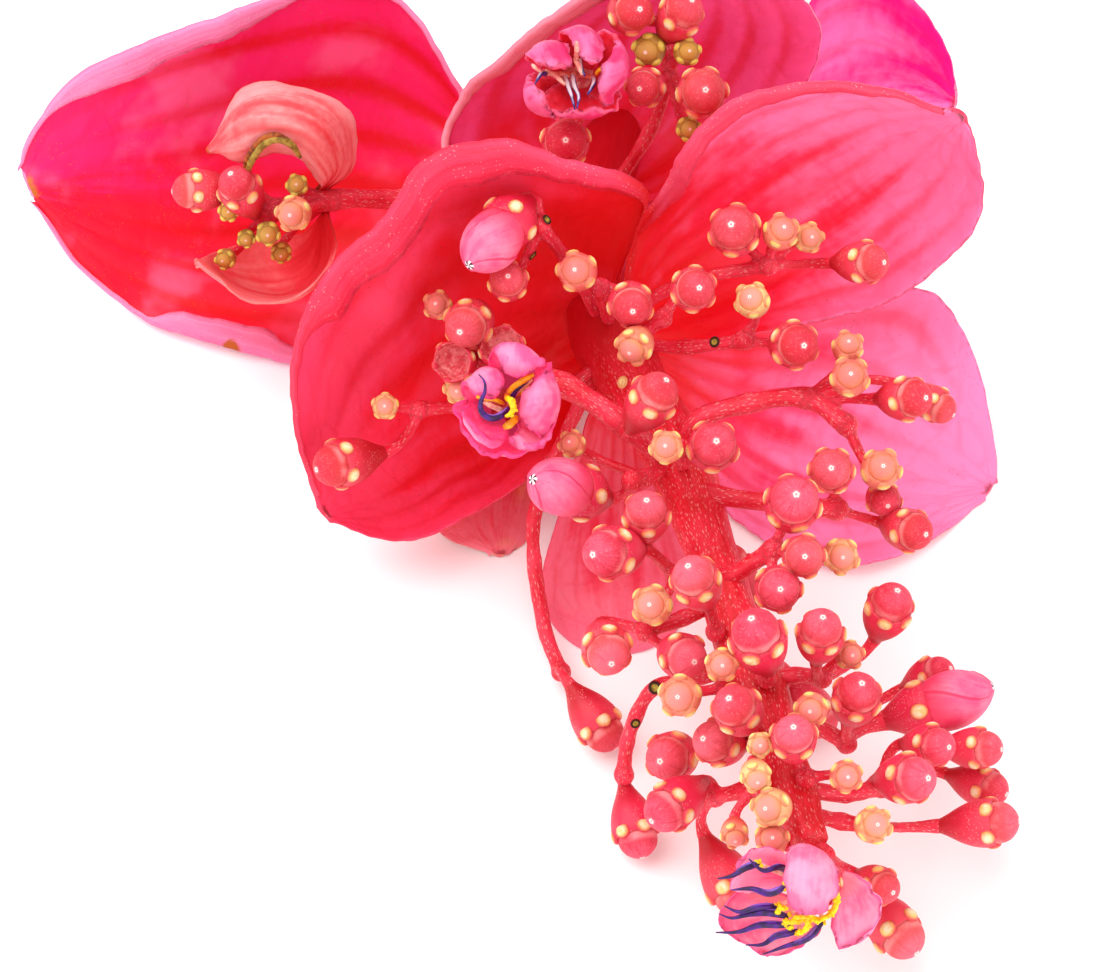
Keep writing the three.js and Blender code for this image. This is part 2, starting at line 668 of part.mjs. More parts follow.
// Two flowers are half open: their four petals stand up and curl in over the middle.
// The flower at the tip has opened wide.
const PETALS = {
  top_petal_1: {
    left: [[88.5, 11.5, -18], [84.8, 9.5, -13], [84.8, 8.8, -8.5], [86, 10.2, -6]],
    middle: [[90, 11, -19], [86.5, 7.5, -13.5], [87.3, 7.3, -7.5], [88.5, 10.8, -4.5]],
    right: [[91.5, 10.5, -18], [90, 7.2, -13], [90.6, 7.6, -8], [91.2, 11, -5.5]],
  },
  top_petal_2: {
    left: [[91, 10.5, -19], [90.2, 5.8, -13.5], [91, 5.4, -9], [92.4, 7.8, -7]],
    middle: [[92.5, 10.5, -19], [93, 4.9, -14], [93.6, 5.3, -7], [94.4, 10.2, -5.5]],
    right: [[94.5, 11, -18], [96, 6.5, -13], [96, 7.5, -9], [96, 9.6, -7]],
  },
  top_petal_3: {
    left: [[95, 10, -18], [97.2, 5.8, -14.5], [98.6, 6.8, -10.5], [98.2, 8.8, -8.5]],
    middle: [[95, 12.5, -19], [99.3, 9.4, -15], [100, 10.8, -9], [97.3, 11.8, -6], [96, 12.8, -6.5]],
    right: [[94, 14.5, -18], [97.8, 15, -14], [98, 15, -9.5], [96.3, 16.5, -8]],
  },
  top_petal_4: {
    left: [[89.5, 13, -18], [85, 13, -13.5], [84.6, 14, -8.5], [86, 13.6, -6.5]],
    middle: [[90, 14.5, -19], [86.5, 17, -14], [85.3, 17.2, -8.5], [87, 15.8, -5.5]],
    right: [[92.5, 15, -19], [91, 18, -14], [89, 18.7, -10.5], [88.5, 18.4, -9.5]],
  },
  left_petal_1: {
    left: [[80.5, 62, 2.5], [79.6, 57, 8], [79.8, 55.6, 12], [80.2, 58.6, 14.5]],
    middle: [[82.5, 62, 2], [83.4, 56.5, 8], [83, 55.6, 13.5], [82.2, 60.2, 16]],
    right: [[84.5, 62.5, 2.5], [86.6, 59, 8], [86, 58, 13], [84.9, 59.6, 14.5]],
  },
  left_petal_2: {
    left: [[84.5, 63, 2.5], [88, 60.2, 7], [87.6, 59.4, 12], [86, 60.8, 14.5]],
    middle: [[85, 65.5, 1.5], [89.2, 63.8, 7], [88.5, 63.8, 13.5], [85.5, 64, 17], [83.2, 65, 16]],
    right: [[84, 68, 2.5], [88.2, 67.7, 7], [87.6, 68.2, 12], [84.8, 69, 14.5]],
  },
  left_petal_3: {
    left: [[78.5, 65.5, 2.5], [74.7, 62.6, 7], [74.6, 61.4, 12], [75.8, 62.8, 14]],
    middle: [[79, 63.5, 2], [76.4, 59.8, 7.5], [77, 60.2, 13], [78.5, 63.8, 15]],
    right: [[80, 62.5, 2.5], [78.6, 59, 7.5], [79.6, 59.8, 12.5], [80.6, 62.2, 14]],
  },
  left_petal_4: {
    left: [[79, 66.8, 2.5], [75, 65, 6], [73.4, 65.8, 9], [73.6, 68.5, 11.5]],
    middle: [[80.8, 68, 2], [79.6, 70.5, 5.5], [78.8, 72, 8.5], [78, 72.6, 11.5]],
    right: [[83, 68.5, 2.5], [86.2, 70.4, 6], [85.6, 71.8, 9], [83, 72.6, 11.5]],
  },
  tip_petal_upper: {
    left: [[127.5, 138, 46.5], [124, 135.8, 50.5], [121, 135.9, 52.5], [119, 137, 53.5]],
    middle: [[127, 139.8, 46], [123, 139, 49], [120, 139.2, 51], [117.6, 140, 52]],
    right: [[126.5, 142, 47], [123, 142.6, 49.5], [119.5, 143, 50.5], [116.5, 142.2, 51]],
  },
  tip_petal_curled: {
    left: [[129.5, 137.8, 46.5], [126.4, 135.8, 53.5], [125.6, 139.2, 58], [126, 144.8, 59.5]],
    middle: [[131.3, 138.2, 46.5], [129.6, 135.9, 56], [129.4, 140.5, 61.5], [128.8, 146.2, 59.5]],
    right: [[133, 138.8, 46.5], [133.4, 138.6, 54], [133.6, 142, 58], [131.6, 145.4, 58]],
  },
  tip_petal_right: {
    left: [[133, 141.5, 44], [133.2, 144.5, 47], [133, 148, 49], [134.3, 152.3, 48.5]],
    middle: [[134.2, 140.5, 44], [136.6, 143.6, 45.5], [137.6, 147.5, 47], [137.2, 150.8, 48.5]],
    right: [[135.4, 139.2, 44], [138.4, 141, 46.5], [141, 144.6, 48.5], [139.8, 148.9, 48.5]],
  },
  tip_petal_lower: {
    left: [
      [126.5, 143.5, 45.5], [120.5, 142.2, 45], [115.6, 144.6, 45], [115.4, 148.2, 45],
      [119, 150.8, 44.5], [122.4, 152.6, 44.5],
    ],
    middle: [[128, 145, 44.5], [124, 146.5, 42.5], [121.5, 148.8, 42], [122.4, 152.6, 44.5]],
    right: [
      [129.5, 146, 45.5], [131, 148.4, 46.5], [128.4, 151.4, 46], [125, 152.7, 45], [122.4, 152.6, 44.5],
    ],
  },
};

// Stamens: curved filaments that start together at the flower's middle
const STAMENS = {
  top_stamens: {
    hub: [92, 11.8, -17.9],
    filaments: [
      [[90.4, 12.2, -10], [91, 14, -7.5], [91.6, 15.8, -6.5], [92, 17.6, -6.5]],
      [[91.6, 12, -10], [92, 14, -7.5], [92.6, 15.4, -6.5], [92.3, 17.4, -6.2]],
      [[92.8, 9.6, -10], [93, 10.8, -8], [93.6, 12.2, -7.5]],
      [[87.4, 11.8, -11], [86.6, 11.8, -7.8], [85.6, 13.4, -6.5]],
      [[95, 12.4, -11], [95, 13.4, -8], [94, 15.2, -7]],
    ],
  },
  left_stamens: {
    hub: [81.4, 65.2, 3.7],
    filaments: [
      [
        [81.3, 65.4, 13], [80.1, 66.5, 15.5], [78.6, 66.9, 16.5], [77.1, 66, 17], [76.9, 64.4, 17],
        [77.6, 62.6, 17], [77.5, 61, 16.8], [76.6, 59.9, 16.2],
      ],
      [[81.6, 64, 10], [82.6, 62.4, 13], [84.6, 60.9, 14]],
      [[82, 66.4, 11], [82, 67.6, 14], [81, 68.4, 15]],
    ],
  },
  tip_stamens: {
    hub: [130.6, 142.2, 47.6],
    filaments: [
      [[126.2, 139.4, 52.5], [124.4, 138.7, 56], [122.1, 139.3, 57], [119.8, 137.4, 57]],
      [[121.4, 138.2, 54.5], [119.3, 138.8, 55.5], [117.2, 140.1, 56], [114.8, 140.6, 56]],
      [[125.8, 141.8, 57], [123.1, 142.9, 57], [120.3, 142.2, 57], [117, 142.4, 56.5]],
      [[124.4, 145, 54], [121, 145.2, 55.5], [118.2, 145.9, 55.5], [115.8, 144.9, 55]],
      [[126, 146.6, 53.5], [123.1, 146, 55], [119.8, 146.3, 55], [117, 146.9, 54.5], [115, 146.2, 54]],
      [[126.4, 148, 53], [121.6, 148, 54], [118.2, 149.1, 53.5], [114.5, 149.2, 53]],
      [[127.6, 149, 52], [124.1, 149.8, 53], [122.1, 151.1, 52.5], [119.3, 151.2, 52]],
      [[131.6, 147.4, 51], [129.2, 150.1, 52.5], [125.1, 151.6, 52.5], [122.1, 152.7, 52]],
    ],
  },
};

function stamens({ hub, filaments }, grow = 0) {
  const centre = new THREE.IcosahedronGeometry(STAMEN_HUB_RADIUS + grow, 0);
  centre.translate(...place(hub).toArray());
  const threads = filaments.map((places) => {
    const all = [hub, ...places];
    return stem(all, all.map(() => FILAMENT_RADIUS), { sides: 4, steps: places.length + 2, grow });
  });
  return joined([solid(centre), ...threads]);
}

// ---------------------------------------------------------------------------
// The cluster
// ---------------------------------------------------------------------------

// Pieces are made in this order, and each is cut clear of those made before it.
const pieces = [];

// "make" builds the piece, grown on every side by the length that it is given
function add(name, colour, make) {
  pieces.push({ name, colour, body: make(0), swollen: make(CLEARANCE) });
}

const wholeStem = mainStem(CLEARANCE);
const rooted = (body) => biggest(body.subtract(wholeStem));

add('main_stem', COLOURS.stem, mainStem);
for (const [name, bract] of Object.entries(BRACTS)) {
  add(name, bract.colour, (grow) => rooted(blade({ ...bract, thickness: BRACT_THICKNESS }, grow)));
}
for (const [name, branch] of Object.entries(BRANCHLETS)) {
  add(name, COLOURS.branchlet, (grow) => rooted(branchlet(branch, grow)));
}
for (const [name, bract] of Object.entries(SIDE_BRACTS)) {
  const small = { ...bract, thickness: SIDE_BRACT_THICKNESS, across: 6, along: 8 };
  add(name, COLOURS.sideBract, (grow) => blade(small, grow));
}
for (const [name, petal] of Object.entries(PETALS)) {
  const small = { ...petal, thickness: PETAL_THICKNESS, across: 4, along: 6 };
  add(name, COLOURS.petal, (grow) => blade(small, grow));
}
for (const [name, threads] of Object.entries(STAMENS)) {
  add(name, COLOURS.stamen, (grow) => stamens(threads, grow));
}

pieces.forEach((piece, i) => {
  for (const earlier of pieces.slice(0, i)) {
    if (!piece.body.intersect(earlier.swollen).isEmpty()) {
      piece.body = biggest(piece.body.subtract(earlier.swollen));
    }
  }
});

const cluster = new THREE.Group();
cluster.name = 'medinilla';
for (const { name, body, colour } of pieces) {
  cluster.add(mesh(name, body, colour));
}

export default cluster;
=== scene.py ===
# %% [markdown]
# # A medinilla flower cluster
#
# The cluster was cut from its plant and lies on its side. A fleshy coral-red stem
# carries two whorls of big cupped bracts, and below them many branchlets of round
# buds, of which three have opened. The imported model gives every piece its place, and
# this script gives each one its skin, veins, warts and flecks. Everything is in metres,
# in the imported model's own frame.

# %% Load the fixed frame
import math
import random

import bpy
import numpy as np
from mathutils import Matrix, Vector, noise
from mathutils.bvhtree import BVHTree
from mathutils.geometry import barycentric_transform


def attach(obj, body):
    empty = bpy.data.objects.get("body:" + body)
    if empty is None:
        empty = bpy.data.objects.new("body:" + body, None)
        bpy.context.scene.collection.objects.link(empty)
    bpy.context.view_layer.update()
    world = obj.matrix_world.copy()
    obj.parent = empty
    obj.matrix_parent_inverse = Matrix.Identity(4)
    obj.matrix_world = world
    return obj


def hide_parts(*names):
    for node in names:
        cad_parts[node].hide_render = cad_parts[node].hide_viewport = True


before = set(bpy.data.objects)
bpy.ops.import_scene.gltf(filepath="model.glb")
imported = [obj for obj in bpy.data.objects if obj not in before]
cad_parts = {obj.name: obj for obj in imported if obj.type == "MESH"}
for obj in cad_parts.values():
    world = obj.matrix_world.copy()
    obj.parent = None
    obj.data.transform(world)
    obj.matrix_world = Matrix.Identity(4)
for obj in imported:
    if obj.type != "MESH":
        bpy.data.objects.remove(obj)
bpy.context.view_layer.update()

# %% [markdown]
# ## The layout sheet
#
# The cluster was laid out on a sheet as it is seen from an eye that looks down on it at
# 50 degrees: millimetres to the right, millimetres down, and depth towards the eye. The
# same few lines turn such a place into a point of the frame, so that every new piece
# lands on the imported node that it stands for. The alternative, measuring each node's
# box, would give a size but not the way a stalk bends.

# %% The layout sheet
MM = 0.001
EYE_DISTANCE = 700.0
EYE_ELEVATION = math.radians(50)
SHEET_MIDDLE = (88.5, 78.0)
SHEET_ORIGIN = np.array((7.75, -39.5, 34.0))
SHEET_WIDTH = 177.12
SIN, COS = math.sin(EYE_ELEVATION), math.cos(EYE_ELEVATION)


def direction(right, up, to_eye):
    """A direction given as right, up and towards the eye."""
    return np.array((right, up * SIN - to_eye * COS, up * COS + to_eye * SIN))


def place(spot):
    """A place on the sheet, in the frame, in metres."""
    across, down, depth = spot
    scale = (EYE_DISTANCE - depth) / EYE_DISTANCE
    right, up = (across - SHEET_MIDDLE[0]) * scale, (SHEET_MIDDLE[1] - down) * scale
    return (direction(right, up, depth) + SHEET_ORIGIN) * MM


def stood(name, data, spot, heading):
    """An eye or a lamp that stands at a spot and looks along its heading."""
    made = bpy.data.objects.new(name, data)
    bpy.context.scene.collection.objects.link(made)
    made.location, made.rotation_mode = spot, "QUATERNION"
    made.rotation_quaternion = Vector(heading).to_track_quat("-Z", "Y")
    return made


TO_EYE = direction(0, 0, 1)
print("the eye looks along", tuple(-TO_EYE.round(3)))

# %% [markdown]
# ## Camera
#
# The camera stands where the layout's eye is and looks the same way. Its lens follows
# from the width that the picture takes in at the sheet. A target and a Track To
# constraint would aim it too, but a fixed turn can't be upset by what is added later.

# %% Camera
PICTURE = (1107, 972)
PICTURE_MIDDLE_SHIFT = (0.4, 1.5)  # pixels between the sheet's middle and the picture's
SENSOR = 36.0  # mm, the width of the camera's own sensor
CLIP = (0.01, 20)

eye = bpy.data.cameras.new("eye")
eye.sensor_width = SENSOR
eye.lens = SENSOR * EYE_DISTANCE / SHEET_WIDTH
eye.shift_x = PICTURE_MIDDLE_SHIFT[0] / PICTURE[0]
eye.shift_y = PICTURE_MIDDLE_SHIFT[1] / PICTURE[0]
eye.clip_start, eye.clip_end = CLIP
bpy.context.scene.camera = stood("eye", eye, (SHEET_ORIGIN + EYE_DISTANCE * TO_EYE) * MM, -TO_EYE)
print("lens", round(eye.lens, 1), "mm")


# %% [markdown]
# ## Shader maths as expressions
#
# A finish is a network of nodes. Wiring each one by hand takes a few lines a node, and
# the sum that it stands for gets lost among them. One small class wraps an output, and
# Python's own operators then add the Math nodes, so that a mask reads as a formula.
# Colours and vectors have methods of their own, because a Math node turns them grey.

# %% Shader expressions
def shade(code):
    """A screen colour such as #ff3060, as the linear values that a shader takes."""
    parts = [int(code[i : i + 2], 16) / 255 for i in (1, 3, 5)]
    return (*[c / 12.92 if c <= 0.04045 else ((c + 0.055) / 1.055) ** 2.4 for c in parts], 1.0)


class Value:
    """One output of a shader node. Python's operators add the Math nodes."""

    def __init__(self, finish, socket):
        self.finish, self.socket = finish, socket

    def math(self, operation, *others):
        return self.finish.node("ShaderNodeMath", {"operation": operation}, [self, *others])

    def __add__(self, other):
        return self.math("ADD", other)

    def __sub__(self, other):
        return self.math("SUBTRACT", other)

    def __rsub__(self, other):
        return self.finish.node("ShaderNodeMath", {"operation": "SUBTRACT"}, [other, self])

    def __mul__(self, other):
        return self.math("MULTIPLY", other)

    def __abs__(self):
        return self.math("ABSOLUTE")

    __radd__ = __add__
    __rmul__ = __mul__


class Finish:
    """A material that is written as node expressions. A constant goes by its socket's name."""

    def __init__(self, name, **sockets):
        self.material = bpy.data.materials.new(name)
        self.material.use_nodes = True
        self.tree = self.material.node_tree
        self.shader = self.tree.nodes["Principled BSDF"]
        for socket, value in sockets.items():
            self.feed(self.shader.inputs[socket.replace("_", " ")], value)

    def node(self, kind, settings=None, inputs=(), output=0):
        """Adds a node, sets it up and feeds its inputs with values or links."""
        made = self.tree.nodes.new(kind)
        for key, value in (settings or {}).items():
            setattr(made, key, value)
        pairs = inputs.items() if isinstance(inputs, dict) else enumerate(inputs)
        for key, value in pairs:
            self.feed(made.inputs[key], value)
        return Value(self, made.outputs[output])

    def feed(self, socket, value):
        """Links an output, or sets a number, a vector or a colour code."""
        if isinstance(value, Value):
            self.tree.links.new(value.socket, socket)
        else:
            socket.default_value = shade(value) if isinstance(value, str) else value

    def attribute(self, name, output="Fac"):
        return self.node("ShaderNodeAttribute", {"attribute_name": name}, output=output)

    def attributes(self, *names):
        return [self.attribute(name) for name in names]

    def turned(self):
        """The map "round", as the turn about the axis and the height or the way from the apex."""
        return self.split(self.node("ShaderNodeUVMap", {"uv_map": "round"}))[:2]

    def spot(self):
        return self.node("ShaderNodeTexCoord", output="Object")

    def noise(self, vector, scale, detail, roughness=0.5):
        return self.node(
            "ShaderNodeTexNoise",
            inputs={"Vector": vector, "Scale": scale, "Detail": detail, "Roughness": roughness},
            output="Fac",
        )

    def cells(self, vector, scale, feature="F1", output="Distance"):
        return self.node(
            "ShaderNodeTexVoronoi", {"feature": feature}, {"Vector": vector, "Scale": scale}, output
        )

    def fade(self, value, start, end):
        """Goes smoothly from 0 to 1 while value goes from start to end."""
        return self.node(
            "ShaderNodeMapRange", {"interpolation_type": "SMOOTHSTEP"}, {"Value": value, 1: start, 2: end}
        )

    def mix(self, under, over, share):
        """A colour between two colours."""
        return self.node("ShaderNodeMix", {"data_type": "RGBA"}, {0: share, 6: under, 7: over}, 2)

    def stretch(self, vector, factors):
        return self.node("ShaderNodeVectorMath", {"operation": "MULTIPLY"}, [vector, factors])

    def vector(self, *parts):
        return self.node("ShaderNodeCombineXYZ", inputs=parts)

    def summed(self, *vectors):
        return self.node("ShaderNodeVectorMath", {"operation": "ADD"}, vectors)

    def split(self, vector):
        return [self.node("ShaderNodeSeparateXYZ", inputs=[vector], output=i) for i in range(3)]

    def relief(self, height, depth_mm, strength):
        bump = self.node(
            "ShaderNodeBump", inputs={"Strength": strength, "Distance": depth_mm * MM, "Height": height}
        )
        self.feed(self.shader.inputs["Normal"], bump)

    def paint(self, colour, rough=None):
        self.feed(self.shader.inputs["Base Color"], colour)
        if rough is not None:
            self.feed(self.shader.inputs["Roughness"], rough)
        return self.material


def fleshy(name, gloss, radius, depth=0.002, weight=0.15):
    """A finish for plant flesh. Light goes in as deep as depth, and red light goes deepest."""
    return Finish(
        name, Specular_IOR_Level=gloss, Subsurface_Weight=weight, Subsurface_Scale=depth,
        Subsurface_Radius=radius,
    )


print("shader expressions ready")

# %% [markdown]
# ## Floor and light
#
# A pale floor carries the cluster. One broad soft lamp from the upper left gives the
# domes of the buds their gentle highlights, a second one from the lower right lifts the
# shade, and a bright even surround does the rest, as in a white studio tent. A sun lamp
# would be simpler, but its hard shadows would cut the cluster up.

# %% Floor and light
FLOOR_SIZE = 6.0
SURROUND = 0.86  # strength of the even light from all round
LAMPS = {
    # name: (right, up, towards the eye) in metres, size, watts
    "key": ((-0.55, 0.85, 0.95), 1.6, 20.0),
    "fill": ((0.7, -0.6, 0.9), 1.4, 10.0),
}


def added(primitive, **settings):
    """A new primitive, added while nothing else is selected."""
    bpy.ops.object.select_all(action="DESELECT")
    primitive(**settings)
    return bpy.context.object


floor = added(bpy.ops.mesh.primitive_plane_add, size=FLOOR_SIZE)
floor.name = "floor"
paper = Finish("pale_paper", Roughness=0.9, Specular_IOR_Level=0.1, Emission_Strength=0.1)
tooth = paper.noise(paper.spot(), 900, 3)
floor.data.materials.append(paper.paint(paper.mix("#f6f6f6", "#fdfdfd", tooth)))

world = bpy.data.worlds.new("tent")
world.use_nodes = True
world.node_tree.nodes["Background"].inputs["Color"].default_value = (1, 1, 1, 1)
world.node_tree.nodes["Background"].inputs["Strength"].default_value = SURROUND
bpy.context.scene.world = world
bpy.context.scene.view_settings.view_transform = "Standard"

for name, (spot, size, watts) in LAMPS.items():
    lamp = bpy.data.lights.new(name, "AREA")
    lamp.size, lamp.energy = size, watts
    stood(name, lamp, direction(*spot) + SHEET_ORIGIN * MM, -direction(*spot))
print("floor, surround and", len(LAMPS), "lamps")

# %% [markdown]
# ## Helpers for modelling
#
# Operators act on whatever is selected, and the imported nodes come in selected, so each
# helper first selects the one piece that it works on. A finished piece has its modifiers
# applied, rides on the cluster's one body, and hides the imported node that it stands
# for. Lines are smooth splines through a few places, because a stalk or a leaf's edge
# has no corners.

# %% Modelling helpers
random_source = random.Random(27)


def only(*pieces):
    """Selects these pieces alone; the first is the active one."""
    bpy.ops.object.select_all(action="DESELECT")
    for piece in pieces:
        piece.select_set(True)
    bpy.context.view_layer.objects.active = pieces[0]


def apply_modifiers(piece):
    only(piece)
    for modifier in list(piece.modifiers):
        bpy.ops.object.modifier_apply(modifier=modifier.name)


def subdivide(piece):
    modifier = piece.modifiers.new("smooth", "SUBSURF")
    modifier.levels = modifier.render_levels = 1
    apply_modifiers(piece)


def joined(name, pieces):
    """Joins pieces into one, smooth-shaded."""
    only(*pieces)
    if len(pieces) > 1:
        bpy.ops.object.join()
    bpy.ops.object.shade_smooth()
    pieces[0].name = pieces[0].data.name = name
    return pieces[0]


def copy_of(piece, name):
    made = bpy.data.objects.new(name, piece.data.copy())
    bpy.context.scene.collection.objects.link(made)
    return made


def points_of(mesh, key="co"):
    """The place of each vertex, or its "normal"."""
    flat = np.empty(len(mesh.vertices) * 3)
    mesh.vertices.foreach_get(key, flat)
    return flat.reshape(-1, 3)


def move_points(mesh, points):
    mesh.vertices.foreach_set("co", np.asarray(points, float).ravel())
    mesh.update()


def mark(mesh, name, values):
    """Writes one value, or one vector, per vertex for the finishes to read."""
    values = np.asarray(values, np.float32)
    kind, key = ("FLOAT", "value") if values.ndim == 1 else ("FLOAT_VECTOR", "vector")
    layer = mesh.attributes.get(name) or mesh.attributes.new(name, kind, "POINT")
    layer.data.foreach_set(key, values.ravel())


def keep(piece, node):
    """The piece is finished: it rides on the body and stands for its node."""
    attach(piece, "root")
    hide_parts(node)
    return piece


def faces(pieces):
    return sum(len(piece.data.polygons) for piece in pieces)


def rumple(points, scale, seed):
    """A smooth random height between -1 and 1 for each point; scale is in waves a metre."""
    offset = Vector((seed * 7.3, seed * 3.1, seed * 5.7))
    return np.array([noise.noise(Vector(point) * scale + offset) for point in points])


SPLINE_STEPS = 24  # points between two places of a line


def smooth_line(places, shares):
    """A line through places, at shares of its length: a centripetal Catmull-Rom spline."""
    p = np.array([place(spot) for spot in places])
    p = np.vstack([2 * p[0] - p[1], p, 2 * p[-1] - p[-2]])
    gaps = np.sqrt(np.linalg.norm(np.diff(p, axis=0), axis=1))
    t = np.linspace(0, 1, SPLINE_STEPS, endpoint=False)[:, None]
    dense = []
    for i in range(1, len(p) - 2):
        before, step, after = gaps[i - 1], gaps[i], gaps[i + 1]
        chord = p[i + 1] - p[i]
        lead = ((p[i] - p[i - 1]) / before - (p[i + 1] - p[i - 1]) / (before + step)) * step + chord
        trail = (p[i + 2] - p[i + 1]) / after - (p[i + 2] - p[i]) / (step + after)
        trail = trail * step + chord
        square, cube = 3 * chord - 2 * lead - trail, lead + trail - 2 * chord
        dense.append(p[i] + lead * t + square * t**2 + cube * t**3)
    dense = np.vstack([*dense, p[-2:-1]])
    length = np.concatenate([[0], np.cumsum(np.linalg.norm(np.diff(dense, axis=0), axis=1))])
    wanted = np.asarray(shares) * length[-1]
    return np.column_stack([np.interp(wanted, length, dense[:, axis]) for axis in range(3)])


def unit(vectors):
    return vectors / np.maximum(np.linalg.norm(vectors, axis=-1, keepdims=True), 1e-12)


print("modelling helpers ready")

# %% [markdown]
# ## Bracts
#
# A bract is a leaf-like blade: thin at its margin, fleshy along its middle, cupped, and
# marked by seven long veins that leave the base together and meet again at the tip.
# Each one is drawn on the sheet by its two edges and its midrib. It could be sculpted,
# or built as a patch of curves. Here a flat grid is added, its points are laid between
# those three lines, and Solidify gives it its flesh, because then every point knows how
# far along and how far across the bract it is, and veins, grooves and colours can all
# follow the leaf. A windowless Blender has no operator that lays a grid on curves, so
# this one step moves the points in code.

# %% The lines of the bracts
BRACTS = {
    # name: the places of its left edge, of its midrib and of its right edge
    "front_bract": (
        [(98, 46, -26), (101.5, 38, -16), (103, 30, -6), (90, 25, 2), (80, 22.5, 6), (72, 23.5, 8),
         (66.5, 27, 7), (61, 36, 4), (54, 42, 2), (49, 50, 0), (46.5, 59, -4), (46.5, 65, -8),
         (49, 77, -15), (52, 82.5, -20)],
        [(97, 52, -30), (88, 56, -38), (77, 62, -39), (67, 69, -35), (58, 77, -27), (52, 82.5, -20)],
        [(98, 58, -31), (92, 68, -31), (83, 78, -27), (76, 82, -24), (69, 85.5, -22), (62, 86, -21),
         (56, 84.5, -20), (52, 82.5, -20)],
    ),
    "upper_right_bract": (
        [(99.5, 47.5, -29), (101.5, 38, -27), (106, 30, -16), (108.5, 24, -7), (117.5, 16, -1),
         (125, 13.5, 0), (133, 13, -3), (141, 14, -6), (149, 16.5, -10), (154, 18, -12)],
        [(100, 50, -30), (108, 44, -42), (117, 38, -46), (128, 31, -42), (142, 23, -28), (154, 18, -12)],
        [(101.5, 56, -32), (110, 56, -37), (121, 53.5, -39.5), (134, 50, -40), (142, 48.5, -38),
         (150, 43, -32), (156, 36.5, -26), (157.5, 30, -20), (156.5, 24, -15), (154, 18, -12)],
    ),
    "right_bract": (
        [(103, 54, -34), (122, 51, -50), (138, 46.5, -56), (148, 46, -53), (154, 53, -50), (158, 65, -47),
         (159.5, 75, -45), (158.3, 79, -44)],
        [(102, 56, -36), (118, 67, -49), (132, 73, -47), (146, 77, -44), (158.3, 79, -44)],
        [(101, 59, -36), (110, 72, -42), (117, 83, -39), (128, 90, -33), (138, 90.5, -30), (150, 86, -36),
         (158.3, 79, -44)],
    ),
    "bottom_bract": (
        [(97, 58, -36), (93, 70, -41), (89, 83, -35), (86.5, 95, -28), (89, 101, -24.5), (94, 105, -22),
         (99, 105.5, -21.5)],
        [(98.5, 59, -37), (98, 72, -44), (98, 86, -36), (98.5, 98, -27), (99, 105.5, -21.5)],
        [(100, 59, -37), (105, 72, -44), (109, 85, -38), (110.5, 95, -30), (108.5, 101, -25),
         (104, 104.5, -22.5), (99, 105.5, -21.5)],
    ),
    "top_bract": (
        [(92, 34, -51), (80, 30, -53), (71, 24, -52), (74.4, 14, -46), (80.4, 8.8, -40), (87, 3, -34),
         (95.6, -2.4, -28), (105, -5.5, -25), (113, -7, -24)],
        [(94.5, 33, -52), (99, 22, -64), (104, 12, -60), (109, 2, -44), (113, -7, -24)],
        [(97, 33, -51), (110, 30, -57), (124, 21, -54), (130, 12, -48), (131.5, 6, -42), (128, -1, -34),
         (122, -5, -28), (113, -7, -24)],
    ),
    "top_right_bract": (
        [(97, 35, -53), (114, 27, -67), (126, 11, -67), (132, -3, -60), (140, -5, -56), (147.5, 1.5, -56),
         (152, 9.5, -58), (153, 16.5, -60)],
        [(98, 36.5, -53), (116, 30, -75), (134, 19, -73), (146, 15.5, -66), (153, 16.5, -60)],
        [(98, 38.5, -53), (117, 38, -67), (136, 31.5, -70), (147, 24, -65), (153, 16.5, -60)],
    ),
    "left_bract": (
        [(91, 33, -53), (82, 24, -62), (74, 14, -61), (69, 5.5, -57), (62, -0.5, -54), (53, -3, -52),
         (43, 0, -52), (33.5, 3.5, -51), (24, 7, -50), (14.5, 11, -48), (8, 17.5, -47), (3.5, 25.5, -47),
         (4.5, 30, -48)],
        [(91, 36, -53), (70, 32, -77), (48, 30.5, -77), (27, 30.5, -67), (4.5, 30, -48)],
        [(91.5, 39, -54), (80, 46, -62), (67, 55, -60), (55, 60, -59), (46.5, 58.5, -61), (37, 56, -63),
         (29, 53.5, -65), (21, 49.5, -67), (13, 43, -62), (8, 36, -54), (4.5, 30, -48)],
    ),
    "under_bract": (
        [(93, 38.5, -55), (83, 54, -55), (72, 67, -50), (68.5, 78, -42), (71, 86, -36), (80, 89, -34)],
        [(94.5, 39, -56), (88, 58, -53), (83, 70, -47), (80, 81, -39), (80, 89, -34)],
        [(96, 39, -56), (95, 57, -53), (90, 70, -48), (86, 80, -42), (84, 87, -36), (80, 89, -34)],
    ),
}

SIDE_BRACTS = {
    "side_upper_bract": (
        [(51.5, 31, -48), (56, 26, -46), (56, 18.5, -43), (48, 14, -40), (39, 15, -40), (33.5, 24, -42)],
        [(51, 30.5, -47), (53.5, 26, -39), (49.5, 20, -31), (41.5, 18.5, -31), (33.5, 24, -42)],
        [(50.5, 30.5, -46), (51, 29, -41), (48, 25.5, -39), (44, 24, -38), (38.5, 25.5, -39),
         (33.5, 24, -42)],
    ),
    "side_lower_bract": (
        [(52.5, 33.5, -48), (53.5, 41, -41), (48, 47.5, -37), (40, 48.5, -37), (34, 45, -39),
         (31, 42, -42)],
        [(52, 34, -49), (50.5, 43, -54), (45, 46.5, -57), (37.5, 45.5, -53), (31, 42, -42)],
        [(51.5, 34, -49), (48, 37.5, -56), (41.5, 38.5, -59), (35, 40, -55), (31, 42, -42)],
    ),
}

print(len(BRACTS), "large bracts and", len(SIDE_BRACTS), "small ones")

